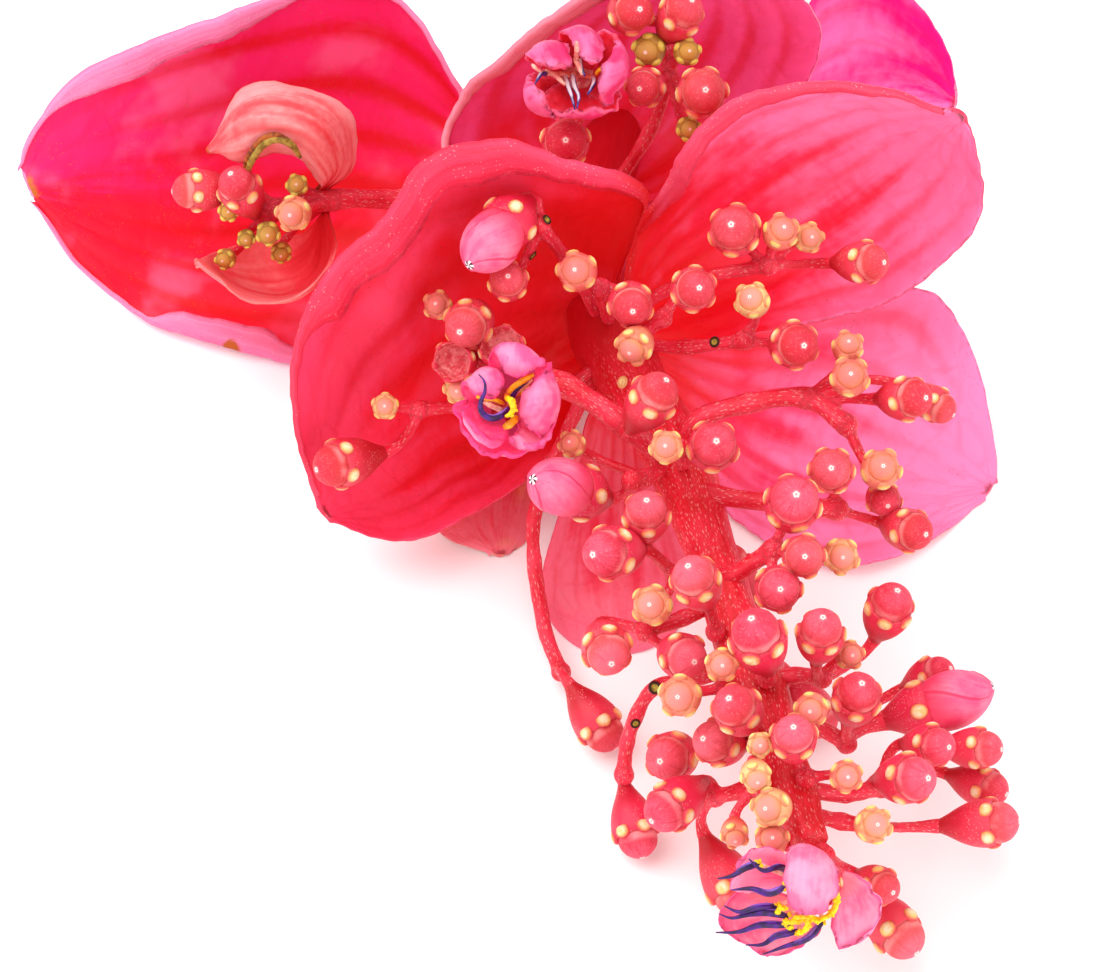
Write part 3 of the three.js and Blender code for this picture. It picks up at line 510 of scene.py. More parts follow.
# %% [markdown]
# ## From three lines to a blade
#
# A grid knows for each of its points how far along and how far across it is. Each
# crosswise section becomes a parabola through the two edges and the midrib. Waves,
# furrows and a frill are added along the normals, and a rolled margin is the outer band
# of the grid, laid round a small turn and back over the blade. Solidify then gives the
# blade its flesh, thicker along the middle than at the margin. Cloth simulation could
# curl the margin too, but a grown leaf's curl is part of its shape and doesn't come
# from its weight.

# %% Laying a sheet between two edges and a midrib
TIP_SHARE = 0.975  # share of their length at which a blade's edges end
VEINS = (-0.8, -0.53, -0.27, 0.0, 0.27, 0.53, 0.8)
VEIN_WIDTH = 0.07
FURROW_BREADTH = 1.9  # times the vein's width


def laid(edges, share, side):
    """Points between a left edge, a midrib and a right edge. Each section is a parabola."""
    left, midrib, right = edges
    left, right = smooth_line(left, share), smooth_line(right, share)
    middle = smooth_line(midrib, share / TIP_SHARE)  # runs ahead and rounds the end
    bow = (left + right) / 2 - middle
    return middle + (right - left) / 2 * side[:, None] + bow * side[:, None] ** 2


def laid_normals(edges, share, side):
    step = 0.01
    lengthways = laid(edges, np.minimum(share + step, TIP_SHARE), side)
    lengthways = lengthways - laid(edges, np.maximum(share - step, 0), side)
    crossways = laid(edges, share, side + step) - laid(edges, share, side - step)
    return unit(np.cross(lengthways, crossways))


def vein_mask(share, side, wander, breadth):
    """1 on a vein, 0 between veins. Veins are lost towards the tip."""
    mask = np.zeros(len(share))
    for vein in VEINS:
        width = breadth * VEIN_WIDTH * (1.2 - 0.4 * share) * (1 - 0.3 * abs(vein))
        mask = np.maximum(mask, np.exp(-(((side + wander - vein) / width) ** 2)))
    return mask * np.clip((0.92 - share) / 0.3, 0, 1)


print("a blade has", len(VEINS), "veins")

# %% A blade and its flesh
THICKNESS = 0.8  # mm, of a blade's middle
ROLL_BAND = 0.13  # share of the grid's width that forms a rolled margin
ROLL_TURN = 0.45  # share of that band that goes round the turn
NIBBLE = 0.022  # how far a margin strays, as a share of the half width
WANDER = 0.09  # how far a vein strays, likewise
FOOT = 0.12  # share of the length over which the waves set in
SWELL, MARGIN_SWELL, FRILL = 38, 85, 560  # waves a metre


def sheet_rumple(along, across, seed):
    """A smooth random height that follows the blade's own two directions."""
    return rumple(np.column_stack([along, across, across * 0]), 1.0, seed)


def rolled(points, normals, inward, past, widths):
    """Takes the outer band of a blade round a small turn, and back over the blade."""
    radius = (0.4 + 0.1 * widths) * MM
    turn = np.pi * np.minimum(past / ROLL_TURN, 1)
    flap = (past - ROLL_TURN).clip(0) / (1 - ROLL_TURN) * widths * MM
    points = points + normals * (radius * (1 - np.cos(turn)) + 0.16 * flap)[:, None]
    return points + inward * (flap - radius * np.sin(turn))[:, None]


def fleshed(piece, weights, finishes):
    """Gives a sheet its thickness, times a weight at each point, and its finishes."""
    flesh = piece.vertex_groups.new(name="flesh")
    for i, weight in enumerate(weights):
        flesh.add([i], float(weight), "REPLACE")
    wall = piece.modifiers.new("flesh", "SOLIDIFY")
    wall.thickness, wall.offset, wall.vertex_group = THICKNESS * MM, 0, "flesh"
    wall.material_offset = wall.material_offset_rim = len(finishes) - 1
    for finish in finishes:
        piece.data.materials.append(finish)
    apply_modifiers(piece)
    bpy.ops.object.shade_smooth()


def blade(name, edges, grid, finishes, waves, groove, ruffle, seed, rolls=None, front=None, spread=1.0):
    """One bract or petal. waves, groove and ruffle are heights in mm. rolls gives the
    width of a rolled margin in mm at shares of its length, for the left or the right
    edge. The first finish goes on the side that faces the eye, or that front, a function
    of the points, points along. The blade can spread wider than its edges."""
    rolls = rolls or {}
    across, along = grid
    piece = added(bpy.ops.mesh.primitive_grid_add, x_subdivisions=across, y_subdivisions=along, size=2)
    piece.name = piece.data.name = name
    flat = points_of(piece.data)
    share = (flat[:, 1] + 1) / 2 * TIP_SHARE
    low = -1 + ROLL_BAND if "left" in rolls else -1
    high = 1 - ROLL_BAND if "right" in rolls else 1
    side = np.clip((flat[:, 0] - low) / (high - low) * 2 - 1, -1, 1)
    past = np.maximum(low - flat[:, 0], flat[:, 0] - high).clip(0) / ROLL_BAND

    bites = sheet_rumple(share * 8, np.sign(side) * 2, seed + 9)
    nicks = sheet_rumple(share * 37, np.sign(side) * 2, seed + 10)
    reach = side * spread * (1 + NIBBLE * (bites + 0.35 * nicks) * np.abs(side))
    points = laid(edges, share, reach)
    normals = laid_normals(edges, share, reach)
    towards = front(points) if front else TO_EYE
    facing = 1 if (normals * towards).sum(axis=1).mean() > 0 else -1
    normals *= facing
    wander = WANDER * sheet_rumple(share * 3, side * 1.5, seed)
    faint = np.clip(0.9 + 0.6 * sheet_rumple(share * 4, side * 3, seed + 4), 0.3, 1)
    veins = faint * vein_mask(share, side, wander, 1.0)
    furrows = vein_mask(share, side, wander, FURROW_BREADTH)
    tucks = sheet_rumple(share * 26, side * 2.2, seed + 7) * (1 - furrows)
    fade = np.minimum(share / FOOT, 1)  # no waves where the blade leaves the stem
    swell = waves * rumple(points, SWELL, seed) + waves * side**2 * rumple(points, MARGIN_SWELL, seed + 3)
    free = np.maximum(np.abs(side), ((share - 0.5) / (TIP_SHARE - 0.5)).clip(0)) ** 3
    frill = ruffle * free * rumple(points, FRILL, seed + 5)
    relief = swell + frill + groove * (0.5 * tucks - faint * furrows) * (past == 0)
    points = points + normals * (relief * fade * MM)[:, None]

    if rolls:
        inward = unit(laid(edges, share, reach * 0.94) - laid(edges, share, reach))
        widths = np.zeros(len(share))
        for key, sign in (("left", -1), ("right", 1)):
            if key in rolls:
                at, width = zip(*rolls[key])
                widths = np.where(side * sign > 0, np.interp(share, at, width), widths)
        widths *= 1 + 0.3 * sheet_rumple(share * 17, side, seed + 12)
        points = rolled(points, normals, inward, past, widths)
        veins = veins * (past == 0)

    points[:, 2] = np.maximum(points[:, 2], THICKNESS / 2 * MM)  # the floor holds it up
    move_points(piece.data, points)
    if facing > 0:
        only(piece)
        bpy.ops.object.mode_set(mode="EDIT")
        bpy.ops.mesh.select_all(action="SELECT")
        bpy.ops.mesh.flip_normals()
        bpy.ops.object.mode_set(mode="OBJECT")
    mark(piece.data, "along", share)
    mark(piece.data, "side", side + np.sign(side) * past)
    mark(piece.data, "vein", veins)
    weights = np.clip(1.15 - 0.85 * np.abs(side) ** 4, 0.3, 1) * np.where(past > 0, 0.8, 1)
    fleshed(piece, weights, finishes)
    points = points_of(piece.data)
    points[:, 2] = np.maximum(points[:, 2], 0.0)
    move_points(piece.data, points)
    return piece


print("a blade is", THICKNESS, "mm thick")

# %% [markdown]
# ## The bracts' finish
#
# Inside, a bract is deep red at its base and goes through hot pink to a pale rosy
# margin, in streaks that follow the veins. The veins themselves stay red. Pale patches of
# painted sheen stand for soft highlights, and the raised quilting is a little paler, in
# part a painted highlight too. The back is paler and finely speckled. Streaks and
# patches come from noise on the blade's own coordinates, which the grid left in two
# attributes, so that they run along the leaf.

# %% The bracts' finish
BRACT_RADIUS = (1.0, 0.25, 0.3)  # how far red, green and blue light spread in the flesh


def bract_finish(
    name, deep, body, pale, reach, paleness, tipward, tip, sheen, veining, depth_mm=0.3, sideward=0.0
):
    """deep spreads from the base as far as reach; pale takes its share in patches, and
    more of it towards the tip or the right edge."""
    f = fleshy(name, 0.28, BRACT_RADIUS, 0.003)
    along, side, vein = f.attributes("along", "side", "vein")
    spot = f.spot()
    sheet = f.vector(side * 2.6, along * 2.6, 0.0)
    patches = f.noise(f.stretch(sheet, (1, 0.6, 1)), 1.5, 3)
    streaks = f.noise(f.stretch(sheet, (3.2, 0.8, 1)), 1.6, 4)
    quilt = f.noise(f.stretch(sheet, (1.3, 7, 1)), 2.2, 3)
    grain = f.noise(spot, 800, 3)
    outer = f.fade(abs(side), 0.25, 1.05)
    # The raised quilting takes more of the pale: in part a painted highlight on the raised areas.
    share = patches * 0.8 + streaks * 0.15 + quilt * 0.2 + outer * 0.2
    share = share + (along - 0.5) * tipward + side * sideward
    colour = f.mix(body, pale, f.fade(share, 0.9 - paleness * 0.5, 1.2 - paleness * 0.5))
    base = 1 - f.fade(along + (patches - 0.5) * 0.6, reach * 0.3, reach * 1.2)
    colour = f.mix(colour, deep, base)
    colour = f.mix(colour, deep, f.fade(vein + (grain - 0.5) * 0.5, 0.05, 1.0) * veining)
    # Painted sheen: pale patches between the veins that stand for soft highlights.
    sheen_patches = f.fade(f.noise(spot, 70, 3), 0.5, 0.66) * (1 - vein) * (1 - base * 0.6)
    colour = f.mix(colour, sheen, sheen_patches * 0.45)
    drawn = f.stretch(sheet, (1.9, 5.0, 1))
    crooked = f.summed(drawn, f.noise(spot, 150, 2))
    net = 1 - f.fade(f.cells(crooked, 1.0, "DISTANCE_TO_EDGE"), 0.0, 0.2)
    colour = f.mix(colour, deep, net * f.fade(patches, 0.35, 0.6) * 0.15)
    dots = (1 - f.fade(f.cells(spot, 1500), 0.1, 0.24)) * f.fade(f.noise(spot, 260, 1), 0.5, 0.62)
    colour = f.mix(colour, tip, dots * 0.4)
    rim = f.fade(abs(side), 0.98, 1.0) * (1 - f.fade(abs(side), 1.0, 1.06)) * f.fade(grain, 0.4, 0.6)
    end = f.fade(along + (grain - 0.5) * 0.03, 0.955, 0.972) * (1 - f.fade(abs(side), 0.3, 0.7))
    colour = f.mix(colour, tip, rim * 0.5 + end * 0.8)
    f.relief(grain * 0.25 - vein * 0.4 + quilt * 0.4 - net * 0.25, depth_mm, 0.6)
    return f.paint(colour, 0.42 + grain * 0.2)


def back_finish(name, deep, body, pale, withered=(0, 0, 0)):
    """A spot of the margin has withered; the default lies far off every bract."""
    f = fleshy(name, 0.28, BRACT_RADIUS, 0.003)
    along, side, vein = f.attributes("along", "side", "vein")
    spot = f.spot()
    sheet = f.vector(side * 1.6, along * 5, 0.0)
    patches = f.noise(sheet, 1.2, 3)
    grain = f.noise(spot, 900, 4, 0.65)
    ribs = f.noise(f.stretch(sheet, (7, 0.4, 1)), 1.5, 3)
    colour = f.mix(body, pale, f.fade(patches * 0.7 + ribs * 0.35, 0.3, 0.78))
    colour = f.mix(colour, deep, vein * 0.38)
    colour = f.mix(deep, colour, f.fade(along + (patches - 0.5) * 0.2, 0.14, 0.3))
    dots = (1 - f.fade(f.cells(spot, 1700), 0.12, 0.26)) * f.fade(grain, 0.42, 0.56)
    light = f.fade(f.noise(spot, 310, 2), 0.45, 0.55)
    colour = f.mix(colour, f.mix("#c8142c", "#fdc9c4", light), dots * 0.5)
    dark = f.fade(abs(side), 1.9, 2.0) * f.fade(f.noise(spot, 600, 2), 0.45, 0.6)
    colour = f.mix(colour, "#8c1020", dark * 0.3)
    far = f.node("ShaderNodeVectorMath", {"operation": "DISTANCE"}, [spot, tuple(place(withered))], "Value")
    colour = f.mix(colour, "#b85410", 1 - f.fade(far + (grain - 0.5) * 0.001, 0.0012, 0.002))
    f.relief(grain + vein * 1.5 + ribs * 0.8, 0.2, 0.7)
    return f.paint(colour, 0.45 + grain * 0.2)


print("bract finishes ready")

# %% The large bracts
BRACT_LOOKS = {
    # name: inside (base, body, pale, reach of the base, paleness, more of it to the tip, tip,
    # colour of the painted sheen, veining, depth of the relief, more paleness to the right),
    # back (base, body, pale, place of a withered spot)
    "front_bract": (
        ("#e00810", "#f41630", "#fd446e", 0.5, 0.8, 0.75, "#6a1814", "#fc4868", 0.6),
        ("#d40a12", "#e6203e", "#f4466a"),
    ),
    "upper_right_bract": (
        ("#e40c16", "#fb2c56", "#ff80b4", 0.4, 0.85, 1.0, "#70280c", "#ff88b8", 0.5),
        ("#de0c16", "#e82e50", "#f45676"),
    ),
    "right_bract": (
        ("#ee1426", "#fb306a", "#ff84ba", 0.4, 0.98, 1.0, "#a02028", "#ff90c2", 0.4),
        ("#e2142a", "#f04a70", "#fa7a9c"),
    ),
    "bottom_bract": (
        ("#ec2034", "#f43a58", "#fc7490", 0.3, 0.8, 0.4, "#d83850", "#fc8ca0", 0.35),
        ("#e8243c", "#f04a70", "#fa8aa8"),
    ),
    "top_bract": (
        ("#e20c18", "#ff2450", "#ff5ca4", 0.36, 1.15, 0.8, "#a02028", "#ff5c9c", 0.6),
        ("#dc0c18", "#f87088", "#fca0b0"),
    ),
    "top_right_bract": (
        ("#ea1040", "#f80c84", "#ff7cc4", 0.3, 1.6, -0.6, "#b02038", "#ff7cc0", 0.4, 0.3, 0.5),
        ("#ea1848", "#f25a86", "#fc98b8"),
    ),
    "left_bract": (
        ("#e20a16", "#f8183c", "#f82472", 0.26, 0.8, 0.2, "#b87c10", "#ff7cac", 0.9, 0.3, -0.4),
        ("#de0a16", "#f46c9c", "#fa98c4", (37, 55.8, -62)),
    ),
    "under_bract": (
        ("#d82038", "#f03c58", "#f88090", 0.40, 0.8, 0.4, "#a02028", "#e8b060", 0.4),
        ("#c0182c", "#f0506c", "#f8b088"),
    ),
}
ROLLS = {
    "front_bract": {
        "left": [(0.12, 0.3), (0.16, 0.8), (0.22, 2.4), (0.3, 4), (0.42, 6.5), (0.55, 7.5), (0.68, 6.5),
                 (0.74, 1.5), (0.85, 0.5)],
    },
    "left_bract": {
        "left": [(0.45, 0.3), (0.55, 2), (0.62, 3.6), (0.75, 4), (0.83, 3.2), (0.9, 0.3)],
        "right": [(0.4, 0.2), (0.47, 2.4), (0.52, 4), (0.6, 3.6), (0.67, 2.4), (0.7, 0.3)],
    },
    "top_bract": {"left": [(0.35, 0.6), (0.5, 2.5), (0.75, 3), (0.95, 0.6)]},
    "upper_right_bract": {
        "left": [(0.12, 0.3), (0.22, 3), (0.34, 4.6), (0.5, 3.6), (0.65, 2.6), (0.8, 1.5), (0.9, 0.3)],
    },
}
RED_BRACTS = ("front_bract", "upper_right_bract", "top_bract", "left_bract")
BRACT_GRID = (72, 90)
RED_GROOVE, PALE_GROOVE = 0.36, 0.22  # mm
BRACT_RUFFLE = 0.3  # mm

bract_pieces = []
for seed, (name, edges) in enumerate(BRACTS.items()):
    inside, back = BRACT_LOOKS[name]
    finishes = (bract_finish(name + "_inside", *inside), back_finish(name + "_back", *back))
    slot, groove = ("bract", RED_GROOVE) if name in RED_BRACTS else ("bract_pale", PALE_GROOVE)
    made = blade(
        name + "_blade", edges, BRACT_GRID, finishes, 1.0, groove, BRACT_RUFFLE, seed + 1, ROLLS.get(name)
    )
    bract_pieces.append(keep(made, name))
print(len(bract_pieces), "bracts,", faces(bract_pieces), "faces")

# %% [markdown]
# ## The two small bracts
#
# The side branch carries its buds between two small cupped bracts, of which the upper
# one has a dry ochre back. They are blades like the large ones. They could be copies of
# those, made smaller, but then their veins and speckles would shrink too, so each has
# its own lines, a coarser grid and no furrows.

# %% The two small bracts of the side branch
SIDE_LOOKS = {
    # name: inside (base, body, pale, reach of the base, paleness, more of it to the tip), back
    "side_upper_bract": (
        ("#d81c28", "#ee464e", "#fa9496", 0.15, 0.85, 0.0),
        ("#8c3a10", "#c8641c", "#d8a838"),
    ),
    "side_lower_bract": (
        ("#dc1c28", "#f23c4c", "#fb7c80", 0.3, 0.8, 0.6),
        ("#c02028", "#f04858", "#fb9488"),
    ),
}
SIDE_GRID = (40, 44)
for seed, (name, edges) in enumerate(SIDE_BRACTS.items()):
    inside, back = SIDE_LOOKS[name]
    # ffb8b4 is the colour of the painted sheen, pale patches that stand for soft highlights.
    inside = bract_finish(name + "_inside", *inside, "#c86414", "#ffb8b4", 0.1, 0.05)
    finishes = (inside, back_finish(name + "_back", *back))
    made = blade(name + "_blade", edges, SIDE_GRID, finishes, 1.2, 0.0, 0.25, seed + 30)
    bract_pieces.append(keep(made, name))
print("small bracts:", faces(bract_pieces[-2:]), "faces")

# %% [markdown]
# ## Stem and stalks
#
# The stem is a thick fleshy tube with swollen nodes. The stalks of the branchlets are
# thinner ones that fork at knots, and all of them carry pale flecks that are drawn out
# along the stalk. A curve with a bevel would give a tube but no swellings. Here a
# cylinder is added and subdivided along its length, and its rings are laid along the
# stalk's line, each with its own radius. Every point also remembers where it was on the
# straight tube, in the attribute "grain", so that the flecks can follow the stalk.

# %% The line of the main stem
MAIN_STEM = {
    "places": [(108, -12.5, -127.5), (107, -5.5, -108), (103, 9, -84), (97.5, 23.5, -64), (94, 35, -50),
               (95.5, 45, -39), (97.5, 54, -29), (103, 64, -20), (108.5, 73.5, -12), (113, 86, -1),
               (117, 98, 9), (121, 110, 19), (124, 119, 27), (126.5, 127, 34), (130, 135, 40)],
    "radii": [5.0, 4.8, 4.8, 5.4, 7.2, 5.6, 6.8, 5.0, 5.6, 4.2, 4.1, 5.2, 3.6, 4.4, 2.4],
}
print("the stem's line has", len(MAIN_STEM["places"]), "places")

# %% [markdown]
# ## Tubes and melted joints
#
# A straight tube is made once for each number of rings and then copied. The heading of
# each ring is handed on from the one before, which keeps the tube from twisting. Where
# tubes meet, they could be bridged ring by ring, but a voxel remesh melts any number of
# them into one soft skin. It loses every attribute, so the grain is looked up afterwards
# on the tubes as they were.

# %% Tubes
straight_tubes = {}


def straight_tube(rings, sides):
    """A straight tube of radius 1 with a ring at each whole height, made once per length."""
    if (rings, sides) not in straight_tubes:
        cylinder = bpy.ops.mesh.primitive_cylinder_add
        piece = added(cylinder, vertices=sides, radius=1, depth=rings, end_fill_type="TRIFAN")
        bpy.ops.object.mode_set(mode="EDIT")
        bpy.ops.mesh.select_all(action="DESELECT")
        bpy.ops.mesh.select_mode(type="EDGE")
        bpy.ops.object.mode_set(mode="OBJECT")
        points = points_of(piece.data)
        for edge in piece.data.edges:
            low, high = edge.vertices
            edge.select = bool(abs(points[low][2] - points[high][2]) > rings / 2)
        bpy.ops.object.mode_set(mode="EDIT")
        bpy.ops.mesh.subdivide(number_cuts=rings - 1)
        bpy.ops.mesh.select_mode(type="VERT")
        bpy.ops.object.mode_set(mode="OBJECT")
        move_points(piece.data, points_of(piece.data) + (0, 0, rings / 2))
        straight_tubes[rings, sides] = piece
    return straight_tubes[rings, sides]


FIRST_SIDE = (0.31, 0.17, 0.94)  # no stalk starts along this


def tube(name, line, radii, sides=12):
    """A tube along a line of points, in metres, with a radius at each."""
    line, radii = np.asarray(line), np.asarray(radii)
    piece = copy_of(straight_tube(len(line) - 1, sides), name)
    along = unit(np.gradient(line, axis=0))
    length = np.concatenate([[0], np.cumsum(np.linalg.norm(np.diff(line, axis=0), axis=1))])
    side = np.array(FIRST_SIDE)
    sides_of = []
    for heading in along:
        side = unit(side - heading * (side @ heading))
        sides_of.append(side)
    sides_of = np.array(sides_of)
    across_of = np.cross(along, sides_of)
    straight = points_of(piece.data)
    ring = straight[:, 2].round().astype(int)
    wide = straight * radii[ring][:, None]
    points = line[ring] + sides_of[ring] * wide[:, :1] + across_of[ring] * wide[:, 1:2]
    move_points(piece.data, points)
    grain = np.column_stack([wide[:, 0], wide[:, 1], length[ring]])
    mark(piece.data, "grain", grain + (0, 0, random_source.random()))
    return piece


print("tubes ready")

# %% Melted joints
VOXEL = 0.42  # mm
SKIN_BUMPS, SKIN_BUMP = 480, 0.12  # waves a metre, and their height in mm


def melted(piece, seed):
    """Melts a joined piece into one skin with soft joints, and carries its grain over."""
    mesh = piece.data
    mesh.calc_loop_triangles()
    points = [Vector(point) for point in points_of(mesh)]
    triangles = [tuple(triangle.vertices) for triangle in mesh.loop_triangles]
    grain = [Vector(entry.vector) for entry in mesh.attributes["grain"].data]
    finder = BVHTree.FromPolygons(points, triangles)
    melt = piece.modifiers.new("melt", "REMESH")
    melt.mode, melt.voxel_size = "VOXEL", VOXEL * MM
    soften = piece.modifiers.new("soften", "SMOOTH")
    soften.factor, soften.iterations = 0.5, 4
    apply_modifiers(piece)
    skin = points_of(piece.data)
    carried = []
    for point in skin:
        near, _, index, _ = finder.find_nearest(Vector(point))
        triangle, its_grain = ([of[i] for i in triangles[index]] for of in (points, grain))
        carried.append(barycentric_transform(near, *triangle, *its_grain))
    mark(piece.data, "grain", np.array(carried))
    bumps = SKIN_BUMP * MM * rumple(skin, SKIN_BUMPS, seed)
    move_points(piece.data, skin + points_of(piece.data, "normal") * bumps[:, None])
    only(piece)
    bpy.ops.object.shade_smooth()
    return piece


print("joints melt at", VOXEL, "mm")

# %% [markdown]
# ## The stalks' finish
#
# The skin of the stem and the stalks is a waxy coral red, mottled, and its red also lies
# in the grooves of its fine ridges as painted shade. Towards the cut end, where the stem
# lies deep among the bracts, it is painted deep red without flecks, which is painted
# shade too. The flecks are Voronoi cells on the straightened coordinates, squeezed along
# the stalk so that they come out as short dashes, and only some of the cells get one. A
# painted texture could do it too, but would need an unwrapped skin.

# %% The stalks' finish
def stalk_finish(name, red, coral, fleck, flecks, painted_shade_span=(1.0, 1.1)):
    """Beyond painted_shade_span, along the cluster in metres, the skin is painted deep red
    without flecks, as painted shade.
    """
    f = fleshy(name, 0.35, (1.0, 0.25, 0.2), weight=0.12)
    spot = f.spot()
    grain = f.attribute("grain", "Vector")
    cloud = f.noise(spot, 160, 3)
    fine = f.noise(grain, 1800, 3)
    drawn = f.stretch(grain, (1, 1, 0.3))
    cell = f.cells(drawn, 3000)
    lot = f.split(f.cells(drawn, 3000, output="Color"))[0]
    chosen = f.fade(lot * 0.7 + cloud * 0.9, 1.0 - flecks, 1.25 - flecks)
    dashes = (1 - f.fade(cell, 0.1, 0.42)) * chosen
    dust = (1 - f.fade(f.cells(spot, 4200), 0.1, 0.4)) * f.fade(fine, 0.5, 0.66)
    speckle = (dashes * 0.62).math("MAXIMUM", dust * 0.5)
    # Painted shade: within the span the flecks are left out.
    speckle = speckle * (1 - f.fade(f.split(spot)[1], *painted_shade_span))
    ridges = f.noise(f.stretch(grain, (1, 1, 0.08)), 1500, 2)
    # Mottled red and coral; the red also falls in the grooves of the fine ridges, a painted shade.
    colour = f.mix(red, coral, f.fade(cloud * 0.6 + ridges * 0.5, 0.38, 0.75))
    # Painted shade: deep red where the stem lies deep among the bracts.
    colour = f.mix(colour, "#bc0610", f.fade(f.split(spot)[1], *painted_shade_span) * 0.8)
    colour = f.mix(colour, fleck, speckle)
    f.relief(speckle * 0.8 + fine * 0.4 + ridges * 0.5, 0.2, 0.7)
    return f.paint(colour, 0.36 + fine * 0.2)


STALK = stalk_finish("stalk", "#d4102a", "#f03854", "#fdb8b4", 0.42)
STEM = stalk_finish("stem", "#cc0816", "#ee243e", "#fdb0ae", 0.5, (-0.020, -0.004))
print("stalk finishes ready")

# %% [markdown]
# ## The main stem
#
# The stem is one thick tube, swollen at its nodes, with four soft ribs that turn slowly
# about it, and a skin that is never quite even. The ribs come from the angle on the
# straightened tube and the unevenness from noise, both added along the normals. A
# Displace modifier could give the unevenness, but not ribs that follow the stem.

# %% The main stem
STEM_STATIONS, STEM_SIDES = 110, 40
SOFTENED = (0.1, 0.2, 0.4, 0.2, 0.1)  # a ring's radius takes so much from its neighbours


def even_line(places, count):
    """Points at even shares of a line, and the share of each of its places."""
    line = smooth_line(places, np.linspace(0, 1, count))
    corners = np.array([place(spot) for spot in places])
    at = [np.linalg.norm(line - corner, axis=1).argmin() / (count - 1) for corner in corners]
    return line, at


stem_line, stem_at = even_line(MAIN_STEM["places"], STEM_STATIONS)
stem_radii = np.interp(np.linspace(0, 1, STEM_STATIONS), stem_at, MAIN_STEM["radii"])
stem_radii = np.convolve(np.pad(stem_radii, 2, "edge"), SOFTENED, "valid")
stem = tube("main_stem_skin", stem_line, stem_radii * MM, STEM_SIDES)
skin = points_of(stem.data)
straight = np.array([entry.vector for entry in stem.data.attributes["grain"].data])
angle = np.arctan2(straight[:, 1], straight[:, 0])
ribs = 0.14 * np.cos(4 * angle + straight[:, 2] * 60)
uneven = ribs + 0.35 * rumple(skin, 110, 4) + 0.16 * rumple(skin, 420, 8)
move_points(stem.data, skin + points_of(stem.data, "normal") * (uneven * MM)[:, None])
stem.data.materials.append(STEM)
only(stem)
bpy.ops.object.shade_smooth()
keep(stem, "main_stem")
print("main stem:", faces([stem]), "faces")

# %% [markdown]
# ## The buds' finishes
#
# The goblet goes from red at its stalk to coral at its rim, with the same small flecks
# as the stalks. The warts are cream, yellow at their feet. The dome is coral pink with
# faint rays that run down from the apex, a white star there with a dark eye, and a
# brownish line where it meets the goblet. Its pale speckles are painted glints, it is
# painted darker down its sides as painted shade, and a pale band lower down, near the
# goblet, is a painted highlight. How young or olive a bud is, and its tint, which strays
# at random and is painted lighter towards -Y as painted light, come from attributes that
# each copy gets, so that one finish serves all.

# %% The finishes of the goblet and its warts
def goblet_finish():
    f = fleshy("goblet", 0.35, (1.0, 0.3, 0.2))
    _, height = f.turned()
    youth, tint_and_light, gold = f.attributes("youth", "tint_and_light", "gold")
    spot = f.spot()
    cloud = f.noise(spot, 260, 3)
    fine = f.noise(spot, 1500, 2)
    cell = f.cells(spot, 2400)
    flecks = (1 - f.fade(cell, 0.1, 0.34)) * f.fade(cloud, 0.46, 0.6)
    upwards = height + (cloud - 0.5) * 0.5
    colour = f.mix("#ba0a24", "#e2284c", f.fade(upwards + tint_and_light * 0.2, 0.25, 0.95))
    cream = f.mix("#f08c72", "#eecc86", f.fade(youth + (cloud - 0.5) * 0.4, 0.62, 0.96))
    fresh = f.mix("#d85844", cream, f.fade(upwards, 0.35, 0.95))
    colour = f.mix(colour, fresh, youth * 0.9)
    colour = f.mix(colour, "#a08c20", gold * 0.75)
    colour = f.mix(colour, "#fdbcae", flecks * 0.5)
    lip = f.fade(height, 0.965, 0.995) * f.fade(fine, 0.3, 0.6)
    colour = f.mix(colour, "#9c4a24", lip * 0.35)
    f.relief(flecks + fine * 0.5, 0.15, 0.6)
    return f.paint(colour, 0.34 + fine * 0.2)


def wart_finish():
    f = fleshy("wart", 0.35, (1.0, 0.8, 0.3), weight=0.2)
    youth, crown, gold = f.attributes("youth", "crown", "gold")
    spot = f.spot()
    cloud = f.noise(spot, 700, 3)
    colour = f.mix("#fbe8c0", "#f2c070", f.fade(cloud, 0.4, 0.7))
    fresh = f.mix("#f6f0b4", "#dcd468", f.fade(cloud, 0.35, 0.65))
    colour = f.mix(colour, fresh, youth * 0.85)
    foot = f.mix("#e0384c", "#ec9468", youth)
    ring = f.mix("#f08c50", "#e4d66c", youth)
    crown = crown + (cloud - 0.5) * 0.7
    colour = f.mix(f.mix(foot, ring, f.fade(crown, 0.2, 0.6)), colour, f.fade(crown, 0.5, 0.95))
    colour = f.mix(colour, "#dcc848", gold * 0.75)
    f.relief(cloud, 0.12, 0.6)
    return f.paint(colour, 0.36 + cloud * 0.2)


GOBLET, WART = goblet_finish(), wart_finish()
print("goblet and wart finishes ready")


# %% The dome's finish
STAR_POINTS = 5


